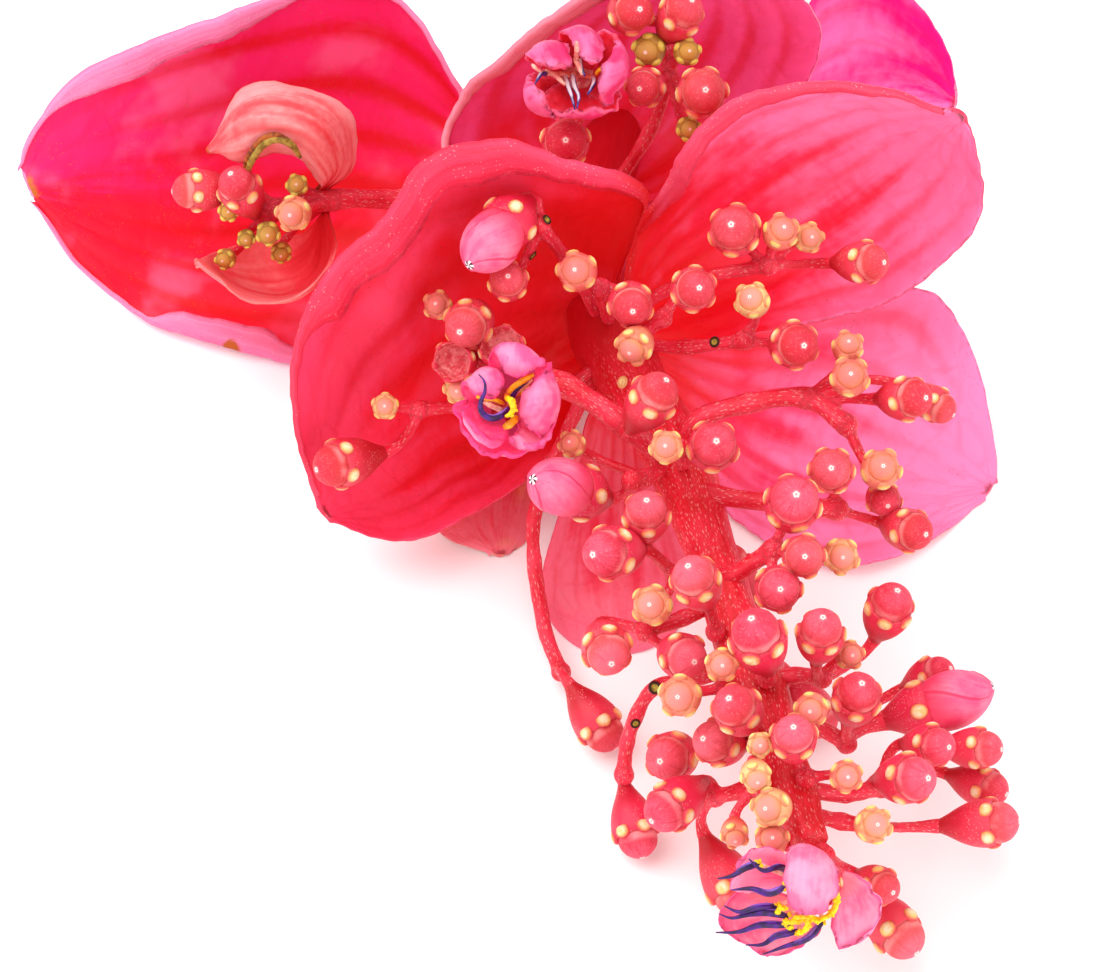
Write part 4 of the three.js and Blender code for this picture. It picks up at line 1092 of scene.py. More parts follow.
def dome_finish():
    f = fleshy("dome", 0.2, (1.0, 0.35, 0.3))
    turn, away = f.turned()
    youth, tint_and_light, gold = f.attributes("youth", "tint_and_light", "gold")
    spot = f.spot()
    cloud = f.noise(spot, 300, 3)
    fine = f.noise(spot, 2600, 2)
    wheel = f.vector(turn * 40.0, away * 2.6, tint_and_light * 9.0)
    rays = f.noise(wheel, 1.0, 3, 0.6)
    colour = f.mix("#d21a3a", "#ee546e", f.fade(cloud * 0.7 + tint_and_light * 0.25, 0.2, 0.75))
    colour = f.mix(colour, "#bc1c3c", f.fade(rays, 0.5, 0.66) * 0.5 * f.fade(away, 0.03, 0.14))
    # Pale fine speckles: painted glints.
    colour = f.mix(colour, "#fa9ca0", f.fade(fine, 0.55, 0.7) * 0.22)
    # Painted shade: darker down the dome's sides.
    colour = f.mix(colour, "#c41830", f.fade(away, 0.22, 0.36) * 0.4)
    # Painted highlight: a pale band low on the dome's sides.
    colour = f.mix(colour, "#fcacac", f.fade(away, 0.36, 0.45) * f.fade(cloud, 0.34, 0.6) * 0.5)
    fresh = f.mix("#f29c8a", "#eea466", f.fade(away + (cloud - 0.5) * 0.25, 0.14, 0.4))
    colour = f.mix(colour, fresh, youth * 0.9)
    colour = f.mix(colour, "#b89c24", gold * 0.7)
    line = f.fade(away, 0.5, 0.53) * f.fade(cloud, 0.3, 0.6)
    colour = f.mix(colour, "#9c3a28", line * 0.4)
    points = (turn * (STAR_POINTS * 2 * math.pi)).math("COSINE")
    reach = away - points * 0.004
    star = 1 - f.fade(reach, 0.03, 0.047)
    colour = f.mix(colour, "#fba0a8", (1 - f.fade(reach, 0.04, 0.08)) * 0.3)
    colour = f.mix(colour, "#ffe4dc", star * 0.95)
    colour = f.mix(colour, "#c05054", (1 - f.fade(away, 0.012, 0.022)) * 0.7)
    f.relief(rays * 0.5 + cloud, 0.1, 0.5)
    return f.paint(colour, 0.48 + cloud * 0.2)


DOME = dome_finish()
print("dome finish ready")

# %% [markdown]
# ## Ripe buds and empty cups
#
# A ripe bud is a lilac egg of petals that are wound over each other. The seams between
# them are where a sawtooth of angle and height jumps, so that they climb as the petals
# do. They could be cut as edges, but a line that thin would need a far finer mesh. The
# cup that an open flower stands in shows a creased, fleshy hollow.

# %% The finishes of ripe buds and empty cups
PETAL_RADIUS = (1.0, 0.4, 0.6)
WOUND_PETALS, WINDING = 3.0, 0.9  # petals round a ripe bud, and how far they climb


def lilac_finish():
    f = fleshy("lilac_petals", 0.25, PETAL_RADIUS)
    turn, away = f.turned()
    tint_and_light = f.attribute("tint_and_light")
    spot = f.spot()
    cloud = f.noise(spot, 220, 3)
    wheel = f.vector(turn * 16.0 + away * 4.0, away * 1.6, tint_and_light * 9.0)
    rays = f.noise(wheel, 1.0, 3, 0.6)
    step = (turn * WOUND_PETALS + away * WINDING).math("FRACT")
    seam = f.fade(abs(step - 0.5), 0.455, 0.495)
    specks = f.fade(f.noise(spot, 2000, 2), 0.58, 0.7)
    colour = f.mix("#ec4c7c", "#f7809e", f.fade(cloud * 0.6 + rays * 0.5, 0.4, 0.7))
    colour = f.mix(colour, "#e8306c", f.fade(rays, 0.52, 0.72) * 0.45)
    colour = f.mix(colour, "#e0286c", specks * 0.25)
    colour = f.mix(colour, "#d01850", seam * 0.75)
    colour = f.mix(colour, "#e8284c", f.fade(away, 0.45, 0.8) * 0.7)
    star = (turn * STAR_POINTS + away * 6.0).math("FRACT")
    wing = f.fade(abs(star - 0.5), 0.2, 0.3)
    tip = 1 - f.fade(away, 0.045, 0.062)
    colour = f.mix(colour, f.mix("#fff2f0", "#58142c", wing), tip)
    f.relief(rays * 0.6 + cloud * 0.5 - seam, 0.15, 0.5)
    return f.paint(colour, 0.36 + cloud * 0.2)


def hollow_finish():
    f = Finish("hollow", Specular_IOR_Level=0.3)
    spot = f.spot()
    cloud = f.noise(spot, 420, 4, 0.6)
    creases = f.summed(spot, f.stretch(spot, (0.3, 0.3, 0.3)))
    folds = f.noise(creases, 900, 4, 0.65)
    colour = f.mix("#d83848", "#f08488", f.fade(cloud, 0.38, 0.62))
    colour = f.mix(colour, "#a03434", f.fade(folds, 0.5, 0.64) * 0.5)
    colour = f.mix(colour, "#fcc8b8", f.fade(1 - folds, 0.56, 0.66) * 0.5)
    f.relief(cloud + folds, 0.4, 0.9)
    return f.paint(colour, 0.5 + cloud * 0.2)


LILAC, HOLLOW = lilac_finish(), hollow_finish()
print("finishes of ripe buds and cups ready")

# %% [markdown]
# ## Buds
#
# A bud is a goblet, the calyx, with five or six cream warts at its rim, and the dome of
# the folded petals that stands in it, with a small white star at its apex. Young buds
# are yellower, wider at the warts and flat on top. Ripe ones carry a big lilac egg of
# petals that are twisted over each other. Four shapes are modelled once by extruding
# and resizing a disc from station to station, as a potter pulls up a wall, and then
# copied, turned and sized for each of the nearly hundred buds. Sizes are in bud radii,
# with the apex towards +Z.

# %% The outlines of the buds
CALYX = {
    # shape: (height, girth) at each station, from the stalk over the rim and down inside
    "dome": [(-2.75, 0.26), (-2.4, 0.36), (-2.0, 0.58), (-1.55, 0.84), (-1.1, 1.01), (-0.7, 1.09),
             (-0.38, 1.09), (-0.18, 1.05), (-0.08, 0.99), (-0.1, 0.93), (-0.35, 0.86)],
    "young": [(-1.95, 0.3), (-1.6, 0.44), (-1.2, 0.72), (-0.75, 0.94), (-0.3, 1.02), (0.05, 0.99),
              (0.28, 0.87), (0.37, 0.78), (0.35, 0.74), (0.2, 0.66)],
    "lilac": [(-3.05, 0.25), (-2.65, 0.42), (-2.2, 0.74), (-1.8, 0.95), (-1.45, 1.01), (-1.2, 0.98),
              (-1.08, 0.92), (-1.12, 0.86), (-1.35, 0.8)],
    "cup": [(-2.05, 0.3), (-1.7, 0.44), (-1.3, 0.74), (-0.8, 0.97), (-0.3, 1.05), (0.1, 1.04), (0.24, 0.99),
            (0.2, 0.91), (-0.05, 0.84), (-0.5, 0.7), (-0.62, 0.4), (-0.6, 0.15)],
}
COROLLA = {
    # shape: (height, girth) at each station, up to the apex
    "dome": [(-0.4, 0.84), (-0.12, 0.92), (0.14, 0.94), (0.38, 0.88), (0.6, 0.76), (0.78, 0.57),
             (0.9, 0.36), (0.955, 0.2), (0.975, 0.13), (0.99, 0.09), (0.97, 0.045)],
    "young": [(0.2, 0.72), (0.4, 0.7), (0.56, 0.56), (0.68, 0.38), (0.745, 0.22), (0.77, 0.13),
              (0.765, 0.06)],
    "lilac": [(-1.4, 0.76), (-1.1, 0.93), (-0.7, 1.03), (-0.3, 1.05), (0.1, 0.98), (0.45, 0.84),
              (0.75, 0.62), (0.95, 0.4), (1.07, 0.22), (1.13, 0.13), (1.12, 0.05)],
}
WARTS = {  # shape: (height, distance from the axis, size across, out and up)
    "dome": (-0.27, 0.95, (0.38, 0.22, 0.35)),
    "young": (0.12, 0.85, (0.36, 0.22, 0.33)),
    "lilac": (-1.45, 0.92, (0.3, 0.14, 0.34)),
    "cup": (0.0, 0.97, (0.28, 0.14, 0.28)),
}
STAR = {"dome": 0.05, "young": 0.07, "lilac": 0.03, "cup": 0.05}  # how far the warts pull the rim out
print(len(CALYX), "shapes of goblet,", len(COROLLA), "of dome")


# %% Pulling up a wall
def raised_disc(height, girth, sides):
    """A disc at a height, left in edit mode with all of it selected."""
    piece = added(bpy.ops.mesh.primitive_circle_add, vertices=sides, radius=girth, fill_type="NGON")
    bpy.ops.object.mode_set(mode="EDIT")
    bpy.ops.mesh.select_all(action="SELECT")
    bpy.ops.transform.translate(value=(0, 0, height))
    return piece


def pulled_up(outline, sides):
    """A disc, extruded and resized from station to station, and closed at its top."""
    height, girth = outline[0]
    piece = raised_disc(height, girth, sides)
    for next_height, next_girth in outline[1:]:
        bpy.ops.mesh.extrude_region_move(TRANSFORM_OT_translate={"value": (0, 0, next_height - height)})
        ratio = next_girth / girth
        bpy.ops.transform.resize(value=(ratio, ratio, 1), center_override=(0, 0, next_height))
        height, girth = next_height, next_girth
    bpy.ops.mesh.merge(type="CENTER")
    bpy.ops.mesh.select_all(action="SELECT")
    bpy.ops.mesh.normals_make_consistent(inside=False)
    bpy.ops.object.mode_set(mode="OBJECT")
    return piece


def mark_round(mesh, up):
    """UV map "round": the angle about the axis, and what up gives for each point."""
    points = points_of(mesh)
    heights = up(points)
    angles = np.arctan2(points[:, 1], points[:, 0])
    on_axis = np.hypot(points[:, 0], points[:, 1]) < 1e-4
    layer = mesh.uv_layers.new(name="round")
    for face in mesh.polygons:
        around = math.atan2(face.center.y, face.center.x)
        for loop in face.loop_indices:
            i = mesh.loops[loop].vertex_index
            apart = (angles[i] - around + math.pi) % (2 * math.pi) - math.pi
            turn = around if on_axis[i] else around + apart
            layer.data[loop].uv = (turn / (2 * math.pi), heights[i])


def from_apex(points):
    """0 at the apex, and 1 at the far end of the axis."""
    return np.arctan2(np.hypot(points[:, 0], points[:, 1]), points[:, 2]) / np.pi


print("walls can be pulled up")

# %% The goblet, the warts and the dome
PETAL_STEP = 0.06  # how proud a wound petal's free edge stands
COROLLA_SIDES = 16
WART_PULL = 0.45  # how far up and down the rim a wart pulls it out


def goblet_form(shape, warts):
    calyx = pulled_up(CALYX[shape], warts * 3)
    subdivide(calyx)
    points = points_of(calyx.data)
    angle = np.arctan2(points[:, 1], points[:, 0])
    near = np.exp(-(((points[:, 2] - WARTS[shape][0]) / WART_PULL) ** 2))
    pull = 1 + STAR[shape] * np.cos(warts * angle) * near
    move_points(calyx.data, points * np.column_stack([pull, pull, np.ones(len(pull))]))
    low, high = CALYX[shape][0][0], max(z for z, _ in CALYX[shape])
    mark_round(calyx.data, lambda p: (p[:, 2] - low) / (high - low))
    return calyx


def wart_form(shape, turned):
    height, out, (across, outwards, upwards) = WARTS[shape]
    wart = added(bpy.ops.mesh.primitive_ico_sphere_add, subdivisions=2, radius=1)
    form = Matrix.Diagonal((outwards, across, upwards, 1))
    turn = Matrix.Rotation(turned, 4, "Z")
    wart.data.transform(turn @ Matrix.Translation((out, 0, height)) @ form)
    crown = points_of(wart.data) @ np.array((math.cos(turned), math.sin(turned), 0))
    mark(wart.data, "crown", (crown - out) / outwards)
    mark_round(wart.data, lambda p: p[:, 2] * 0)
    return wart


def twist_petals(mesh):
    """Petals wound over each other: each one's free edge stands a little proud."""
    points = points_of(mesh)
    away = from_apex(points)
    angle = np.arctan2(points[:, 1], points[:, 0])
    step = (angle / (2 * np.pi) * WOUND_PETALS + away * WINDING) % 1
    proud = 1 + PETAL_STEP * (step - 0.5) * np.clip(away * 6, 0, 1)
    move_points(mesh, points * proud[:, None])


def dome_form(shape):
    corolla = pulled_up(COROLLA[shape], COROLLA_SIDES)
    subdivide(corolla)
    if shape == "lilac":
        twist_petals(corolla.data)
    mark_round(corolla.data, from_apex)
    return corolla


def line_hollow(calyx):
    """The inside of an empty cup gets a finish of its own."""
    calyx.data.materials.append(HOLLOW)
    for face in calyx.data.polygons:
        outwards = Vector((face.center.x, face.center.y, 0)).normalized()
        inner = face.normal.dot(outwards) < -0.3 or (face.center.z < 0 and face.normal.z > 0.6)
        face.material_index = int(inner)


def bud_form(shape, warts):
    """One bud of radius 1."""
    parts = [goblet_form(shape, warts)]
    parts += [wart_form(shape, i * 2 * math.pi / warts) for i in range(warts)]
    if shape in COROLLA:
        parts.append(dome_form(shape))
    finishes = [GOBLET] + [WART] * warts + [LILAC if shape == "lilac" else DOME]
    for part, finish in zip(parts, finishes):
        part.data.materials.append(finish)
    if shape == "cup":
        line_hollow(parts[0])
    return joined(f"{shape}_{warts}", parts)


forms = {(shape, warts): bud_form(shape, warts) for shape in CALYX for warts in (5, 6)}
print(len(forms), "bud forms,", {key[0]: len(form.data.polygons) for key, form in forms.items()}, "faces")

# %% [markdown]
# ## The branchlets
#
# Each branchlet starts inside the main stem, runs to one or more knots, and each bud
# has its own stalk from a knot to the foot of its goblet. The stalks and knots are
# joined and melted into one skin by a voxel remesh, which fills the forks as a living
# stalk does. Booleans would leave sharp creases there. The buds stay a piece of their
# own on top of them.

# %% The lines of the branchlets
MOST_LEAN = 0.98  # 1 would be a bud seen exactly from its side


def bud(across, down, depth, radius, apex_right=0, apex_down=0, shape="dome", start=-1):
    """One bud: the middle of its round end, its radius, how far its apex is seen off that
    middle, its shape and the place of the stalk that it grows from."""
    lean = min(math.hypot(apex_right, apex_down) / radius, MOST_LEAN)
    length = math.hypot(apex_right, apex_down) or 1
    facing = direction(apex_right / length * lean, -apex_down / length * lean, math.sqrt(1 - lean**2))
    return {
        "middle": place((across, down, depth)), "facing": facing, "radius": radius * MM,
        "shape": shape, "start": start,
    }


BRANCHLETS = {
    # name: the places of its stalk, its radius in mm, and its buds
    "side_branch": (
        [(93, 35.5, -51), (75, 33, -59.5), (64, 32, -56.5), (53, 32, -47), (44, 33.5, -45)], 1.8,
        [bud(30.5, 30.5, -40, 3.3, -3.2, 0.2), bud(38, 29.6, -35, 3.5, -1, -1.8),
         bud(36.6, 33.8, -38, 1.8, 0, 0.3, "young"), bud(46.9, 34.2, -33, 3.0, -0.6, 0.5, "young", 3),
         bud(47.5, 29.6, -38, 1.9, 0, 0, "young", 3), bud(42.9, 37.4, -40, 2.1, 0, 0.5, "young"),
         bud(39.4, 38.2, -42, 1.6, 0, 0.5, "young"), bud(45, 40.5, -46, 1.8, 0, 0.8, "young", 3),
         bud(36, 41.5, -46, 1.8, -0.5, 0.5, "young")],
    ),
    "top_branchlet": (
        [(96, 33, -46), (104, 21, -40), (107, 11.5, -36), (107.5, 3.5, -33)], 1.25,
        [bud(101.3, 1.8, -22, 3.5, 1.1, 0), bud(109.4, 1.8, -22, 3.5, 1.3, -1.6),
         bud(103.8, 8, -26, 2.8, -0.8, 0.8, "young", 2), bud(110, 8.3, -24, 2.3, 0.4, 0, "young", 2),
         bud(103, 14, -22, 3.1, -0.8, 0.5, "dome", 2), bud(112.5, 14.7, -18, 3.9, 0.3, 0, "dome", 2),
         bud(110.2, 20.6, -24, 2.1, 0.2, 0.3, "young", 2)],
    ),
    "top_flower_branchlet": (
        [(93, 34, -46), (91.5, 26, -38), (92, 19, -33)], 1.25,
        [bud(90.5, 22.7, -22, 3.8, 0, 0, "dome", 1), bud(92, 11.8, -20.4, 3.6, 0, 0, "cup")],
    ),
    "lilac_branchlet": (
        [(96, 51, -26), (91, 42, -10), (86.5, 36, -2)], 1.25,
        [bud(77.8, 39.5, 6, 4.6, -2.4, 2.8, "lilac"), bud(81.3, 44.8, 0, 3.0, 0, -0.5)],
    ),
    "inner_branchlet": (
        [(97.5, 52, -25), (96.5, 48, -15), (96, 46, -9)], 1.25,
        [bud(92.3, 43.4, 0, 3.3, -0.5, -0.2, "young"), bud(101, 49, 2, 3.4, 0.2, 1)],
    ),
    "fork_branchlet": (
        [(100, 54, -25), (104, 52.5, -14), (106, 51, -8)], 1.25,
        [bud(101.4, 55.5, 4, 3.0, -1, 1.4, "young"), bud(111.2, 46.2, 4, 3.4, 0.6, 0)],
    ),
    "left_flower_branchlet": (
        [(106, 73, -9), (100, 68, 0), (91, 62, -3), (83, 59, -10), (75, 57.5, -14)], 2.0,
        [bud(70, 48.8, -10, 2.4, -0.4, -0.2, "young"), bud(74.6, 52.2, -2, 3.7, -1, 1.1),
         bud(72.6, 57.8, -4, 3.4, -1.2, 0.4, "cup"), bud(73.3, 62.2, -7, 2.4, -0.3, 0.6, "young"),
         bud(80.3, 55.6, -3, 3.6, 0, -1, "cup", 3), bud(81.4, 65.2, 1.1, 3.8, 0, 0, "cup", 3),
         bud(105, 63, 12, 3.7, 1.6, -2.2, "dome", 1)],
    ),
    "far_left_branchlet": (
        [(98, 57, -26), (90, 62, -23), (78, 64.5, -21), (67, 65.5, -18)], 1.25,
        [bud(61.6, 65, -9, 2.2, 0, 0, "young"), bud(53.6, 74.4, -8, 3.8, -3, 0.8)],
    ),
    "lower_lilac_branchlet": (
        [(106.5, 75, -8), (103, 76.5, 0), (101, 77, 4)], 1.25,
        [bud(88.6, 77.6, 10, 4.6, -3, -0.8, "lilac"), bud(91.5, 71, 3, 2.2, -0.6, -0.4, "young", 1)],
    ),
    "middle_branchlet": (
        [(109, 75, -8), (109.5, 73.5, 1), (109.5, 73, 4)], 1.25,
        [bud(106.6, 71.5, 17, 2.7, -0.3, -0.2, "young"), bud(114.2, 71.2, 14, 3.8, 0.3, -0.6)],
    ),
    "upper_right_branchlet": (
        [(99, 51, -26), (110, 45, -18), (123, 42.5, -14)], 1.25,
        [bud(117.4, 36.6, -4, 3.9, -0.6, -0.5), bud(125, 37, -5, 2.9, 0.5, -0.8, "young"),
         bud(129.4, 38, -10, 2.5, 0.6, 0, "young"), bud(139.2, 42, -6, 3.3, 2.2, 0.1)],
    ),
    "right_branchlet": (
        [(101, 55, -26), (110, 55.5, -16), (119, 54.5, -11)], 1.25,
        [bud(120.3, 48, -2, 2.9, -0.6, -0.6, "young"), bud(127.5, 55.2, 1, 3.6, 1.0, 0.2)],
    ),
    "long_right_branchlet": (
        [(108, 72, -12), (112, 67, -7), (120, 64.5, -7), (129, 63.7, -7), (135.5, 68, -6)], 1.7,
        [bud(136, 60.3, 3, 3.2, 0, -0.6, "young", 3), bud(135.7, 55.4, -3, 2.6, 0, -1, "young", 3),
         bud(146, 63.7, 4, 3.4, 2.0, 0, "dome", 3), bud(150.4, 65.2, -5, 2.8, 2.2, 1.3, "dome", 3),
         bud(141, 75, 4, 3.3, 0.2, -0.6, "young"), bud(141.6, 80.2, 0, 2.7, 0.3, 0.8)],
    ),
    "low_right_branchlet": (
        [(110, 77.5, -6), (115, 79.3, -3), (124.5, 80.5, -2), (134, 81.5, -4)], 1.7,
        [bud(133, 75.2, 8, 3.4, -0.2, -0.3), bud(146.2, 85, 3, 3.3, 1.8, 0.5)],
    ),
    "right_cluster_branchlet": (
        [(113, 91, 3), (117, 92, 9), (123.5, 88, 12)], 1.6,
        [bud(127, 80.2, 24, 4.1, 0.2, -1.1), bud(128.6, 89, 27, 3.2, 0, 0),
         bud(134.6, 89, 19, 2.9, 0.2, 0.2, "young"), bud(124.6, 94.2, 27, 3.5, 0.1, 0)],
    ),
    "middle_left_branchlet": (
        [(113, 91, 3), (108, 92, 9)], 1.5,
        [bud(103.4, 81.8, 16, 3.5, 0, -1.8), bud(97, 88.5, 20, 4.0, -2.2, 0.2),
         bud(104.3, 96.8, 22, 3.2, -0.6, -0.2, "young")],
    ),
    "rising_branchlet": (
        [(117, 103, 13), (114.5, 101, 17)], 1.25,
        [bud(111, 92.3, 30, 3.6, -1, -1.8)],
    ),
    "low_left_branchlet": (
        [(116, 96, 7), (109, 99, 10), (103, 101, 12)], 1.4,
        [bud(97.3, 104.5, 22, 3.7, 0.5, 1.6), bud(109.8, 105.3, 24, 3.5, 1.2, 0.5)],
    ),
    "hanging_branchlet": (
        [(97, 56, -27), (93, 64, -25), (89, 73, -24), (85.5, 82.5, -24), (85.5, 90, -23), (86.3, 96, -21),
         (87.5, 102, -18), (89.8, 107.5, -14)], 1.2,
        [bud(96.5, 117, -4.5, 3.6, 2.1, 2.9)],
    ),
    "low_hanging_branchlet": (
        [(119, 107, 15), (112, 108.5, 12), (104.8, 110, 9), (101.8, 114.5, 7), (100.3, 119, 6),
         (99.8, 124, 6)], 1.2,
        [bud(102, 134, 8, 3.5, 0.8, 3.2)],
    ),
    "centre_branchlet": (
        [(120, 108, 18), (116, 110, 23)], 1.4,
        [bud(115.5, 106.4, 36, 2.6, 0, 0, "young"), bud(108.8, 111.4, 34, 3.3, -0.6, 0, "young"),
         bud(117.6, 113, 40, 3.6, -1.1, -1.4)],
    ),
    "lower_left_branchlet": (
        [(121, 112, 18), (117, 117.5, 19)], 1.4,
        [bud(106.9, 121.3, 18, 3.8, -1.4, 0.3), bud(114.2, 118.6, 29, 3.5, -1.8, -0.6)],
    ),
    "crown_branchlet": (
        [(120.5, 109, 21), (122.5, 108.5, 26)], 1.4,
        [bud(121, 101.3, 39, 4.1, -0.9, -2.4)],
    ),
    "rear_branchlet": (
        [(121, 109, 20), (127, 108, 20), (131.5, 108.5, 17)], 1.4,
        [bud(131.4, 100.7, 32, 3.5, 0.1, -2), bud(136, 104.8, 26, 2.3, 0.4, 0, "young"),
         bud(142.6, 96.6, 18, 3.6, 0.8, -2.2)],
    ),
    "lilac_side_branchlet": (
        [(122, 111, 20), (129, 115, 20), (135.5, 119, 18)], 1.5,
        [bud(129.8, 113.5, 40, 2.6, -0.4, 0.3, "young", 1), bud(137.3, 111, 32, 3.6, 0.4, -1.8),
         bud(154, 111.4, 14, 4.6, 4.3, -1.4, "lilac"), bud(150, 107.8, 6, 3.0, 2, -1)],
    ),
    "lower_crown_branchlet": (
        [(125, 123, 30), (129, 124.5, 38)], 1.3,
        [bud(127, 117.6, 47, 3.3, -0.2, -1.4), bud(135.4, 124.2, 47, 2.5, 0.2, 0, "young")],
    ),
    "young_branchlet": (
        [(125.5, 124.5, 32), (121.5, 126, 36)], 1.2,
        [bud(121, 124.3, 48, 2.4, 0.2, 1, "young"), bud(123.3, 129.2, 48, 3.0, -1.2, 0, "young"),
         bud(121.6, 119.2, 44, 2.0, 0, 0, "young"), bud(117.6, 133.6, 40, 2.2, 0, 1.2, "young")],
    ),
    "right_fan_branchlet": (
        [(127, 126, 33), (135, 127, 31), (141, 126, 26)], 1.5,
        [bud(146.2, 124.6, 38, 3.7, 2, -0.3), bud(149.8, 119.4, 30, 3.2, 1.8, 0),
         bud(157.5, 119.8, 20, 3.1, 2.6, 0), bud(158.4, 126.2, 16, 3.1, 2.5, 0.8)],
    ),
    "low_fan_branchlet": (
        [(128, 130, 36), (135, 131.5, 33), (140.5, 132.3, 30)], 1.4,
        [bud(159.5, 131.6, 25, 3.6, 3.4, -0.3), bud(139.8, 132, 46, 2.8, 0.6, -0.3, "young")],
    ),
    "low_spread_branchlet": (
        [(125.5, 126, 31), (119, 126.5, 25), (114.5, 127.5, 20)], 1.4,
        [bud(106.6, 129.6, 27, 3.7, -2.4, 1.6), bud(117.6, 142.8, 18, 3.9, 1.8, 3.3)],
    ),
    "tip_branchlet": (
        [(129.5, 133.5, 38), (132, 137, 38)], 1.5,
        [bud(123.5, 134.2, 46, 2.6, 0, -0.4, "young"), bud(141.3, 142, 36, 2.8, 1.4, 0.6),
         bud(144.3, 149.8, 28, 3.8, 2.2, 2.5), bud(131, 141.5, 45, 3.4, -0.8, 1.4, "cup")],
    ),
    "under_branchlet": (
        [(121, 110, 16), (123, 109, 6), (125, 109, 0)], 1.4,
        [bud(131, 115, -7, 3.4, 2.4, 3.6), bud(117, 90, -13, 3.2, -1.5, -3),
         bud(121, 117, -5, 3.2, -1.6, 3)],
    ),
}

print(len(BRANCHLETS), "branchlets,", sum(len(row[2]) for row in BRANCHLETS.values()), "buds")

# %% [markdown]
# ## Growing the branchlets
#
# A bud's stalk leaves its knot and bends until it meets the goblet from behind, which is
# a curve with one control point. It swells at both ends. A knot is a sphere, a little
# thicker than the stalk, that the remesh melts into it. Every bud is a copy of one of
# eight forms and turned about its own axis, so that no two show the same warts. Linked
# copies would be lighter, but each bud needs its own age and tint.

# %% Stalks, knots and buds
PEDICEL_RADIUS, KNOT_RADIUS = 0.8, 1.75  # mm, of a bud's stalk and of a small knot
STALK_STATIONS = 13
STALK_LEAD = 0.45  # the control point lies this share of the way back from the goblet
STALK_SUNK = 0.35  # how deep a stalk ends in its goblet, in bud radii
STALK_SWELL = 0.35  # how much thicker a stalk is at its knot
GOLD_BELOW = 2.9  # mm; a young bud that is smaller can still be olive
YOUNG, RIPE = (0.55, 1.0), (0, 0.15)  # how young a young bud and a closed one can be
TINT_STRAY = 0.8
PAINTED_LIGHT_FROM, PAINTED_LIGHT_OVER = -0.03, 0.04  # metres; towards the growing tip, at -Y, buds are tinted paler: painted light

knot_form = added(bpy.ops.mesh.primitive_ico_sphere_add, subdivisions=3, radius=1)


def knot_at(point, radius):
    piece = copy_of(knot_form, "knot")
    points = points_of(piece.data) * radius
    mark(piece.data, "grain", points + (0, 0, random_source.random()))
    move_points(piece.data, points + point)
    return piece


def foot_of(one):
    """Where a bud's stalk meets its goblet."""
    return one["middle"] + one["facing"] * (CALYX[one["shape"]][0][0] * one["radius"])


def bud_stalk(one, start):
    """A stalk that swells at both ends and bends into the way that its bud faces."""
    foot = foot_of(one)
    lead = foot - one["facing"] * STALK_LEAD * np.linalg.norm(foot - start)
    sunk = foot + one["facing"] * STALK_SUNK * one["radius"]
    t = np.linspace(0, 1, STALK_STATIONS)[:, None]
    line = (1 - t) ** 2 * start + 2 * t * (1 - t) * lead + t**2 * sunk
    end = CALYX[one["shape"]][1][1] * one["radius"]
    radii = PEDICEL_RADIUS * MM * (1 + STALK_SWELL * (1 - t[:, 0]) ** 4)
    radii = radii + max(end - PEDICEL_RADIUS * MM, 0) * t[:, 0] ** 3
    return tube("bud_stalk", line, radii)


def grown_bud(one, golden):
    """A copy of the bud's form, turned and sized, with its own tint and finishes."""
    shape = one["shape"]
    piece = copy_of(forms[shape, random_source.choice((5, 5, 6))], "bud")
    spin = Matrix.Rotation(random_source.uniform(0, 2 * math.pi), 4, "Z")
    turn = Vector(one["facing"]).to_track_quat("Z", "Y").to_matrix().to_4x4()
    size = Matrix.Scale(one["radius"], 4)
    piece.data.transform(Matrix.Translation(one["middle"]) @ turn @ size @ spin)
    youth = {"young": random_source.uniform(*YOUNG), "dome": random_source.uniform(*RIPE)}
    olive = golden and shape == "young" and one["radius"] < GOLD_BELOW * MM
    # Painted light: buds towards the growing tip, at -Y, are tinted paler to make up for the lamps lighting
    # them less.
    painted_light = min(max((PAINTED_LIGHT_FROM - one["middle"][1]) / PAINTED_LIGHT_OVER, 0), 1)
    tint_and_light = random_source.uniform(-TINT_STRAY, TINT_STRAY) + 1.4 * painted_light - 0.4
    for key, value in {"youth": youth.get(shape, 0.0), "gold": float(olive), "tint_and_light": tint_and_light}.items():
        mark(piece.data, key, [value] * len(piece.data.vertices))
    return piece


print("a bud's stalk has", STALK_STATIONS, "rings")

# %% Every branchlet
GOLDEN = ("side_branch", "top_branchlet")  # their smallest buds are still olive
KNOT_OVER_STALK = 1.15
SWELL_LENGTH, SWELL_HEIGHT = 0.06, 0.18  # shares of a stalk's length and of its radius
SLENDER = 0.92  # a stalk's radius between its knots, as a share of the stated one

stalk_pieces, bud_pieces = [], []
for seed, (name, (places, thick, branch_buds)) in enumerate(BRANCHLETS.items()):
    count = 6 * len(places)
    line, at = even_line(places, count)
    t = np.linspace(0, 1, count)
    swell = sum(np.exp(-(((t - knot) / SWELL_LENGTH) ** 2)) for knot in at[1:])
    parts = [tube("stalk", line, thick * MM * (SLENDER + SWELL_HEIGHT * np.minimum(swell, 1)))]
    corners = [place(spot) for spot in places]
    for fork in sorted({one["start"] % len(corners) for one in branch_buds}):
        parts.append(knot_at(corners[fork], max(KNOT_RADIUS, thick * KNOT_OVER_STALK) * MM))
    parts += [bud_stalk(one, corners[one["start"]]) for one in branch_buds]
    stalks = melted(joined(name + "_stalks", parts), seed)
    stalks.data.materials.clear()
    stalks.data.materials.append(STALK)
    buds = joined(name + "_buds", [grown_bud(one, name in GOLDEN) for one in branch_buds])
    stalk_pieces.append(keep(stalks, name))
    bud_pieces.append(keep(buds, name))
print(len(bud_pieces), "branchlets,", faces(stalk_pieces), "faces of stalk,", faces(bud_pieces), "of bud")

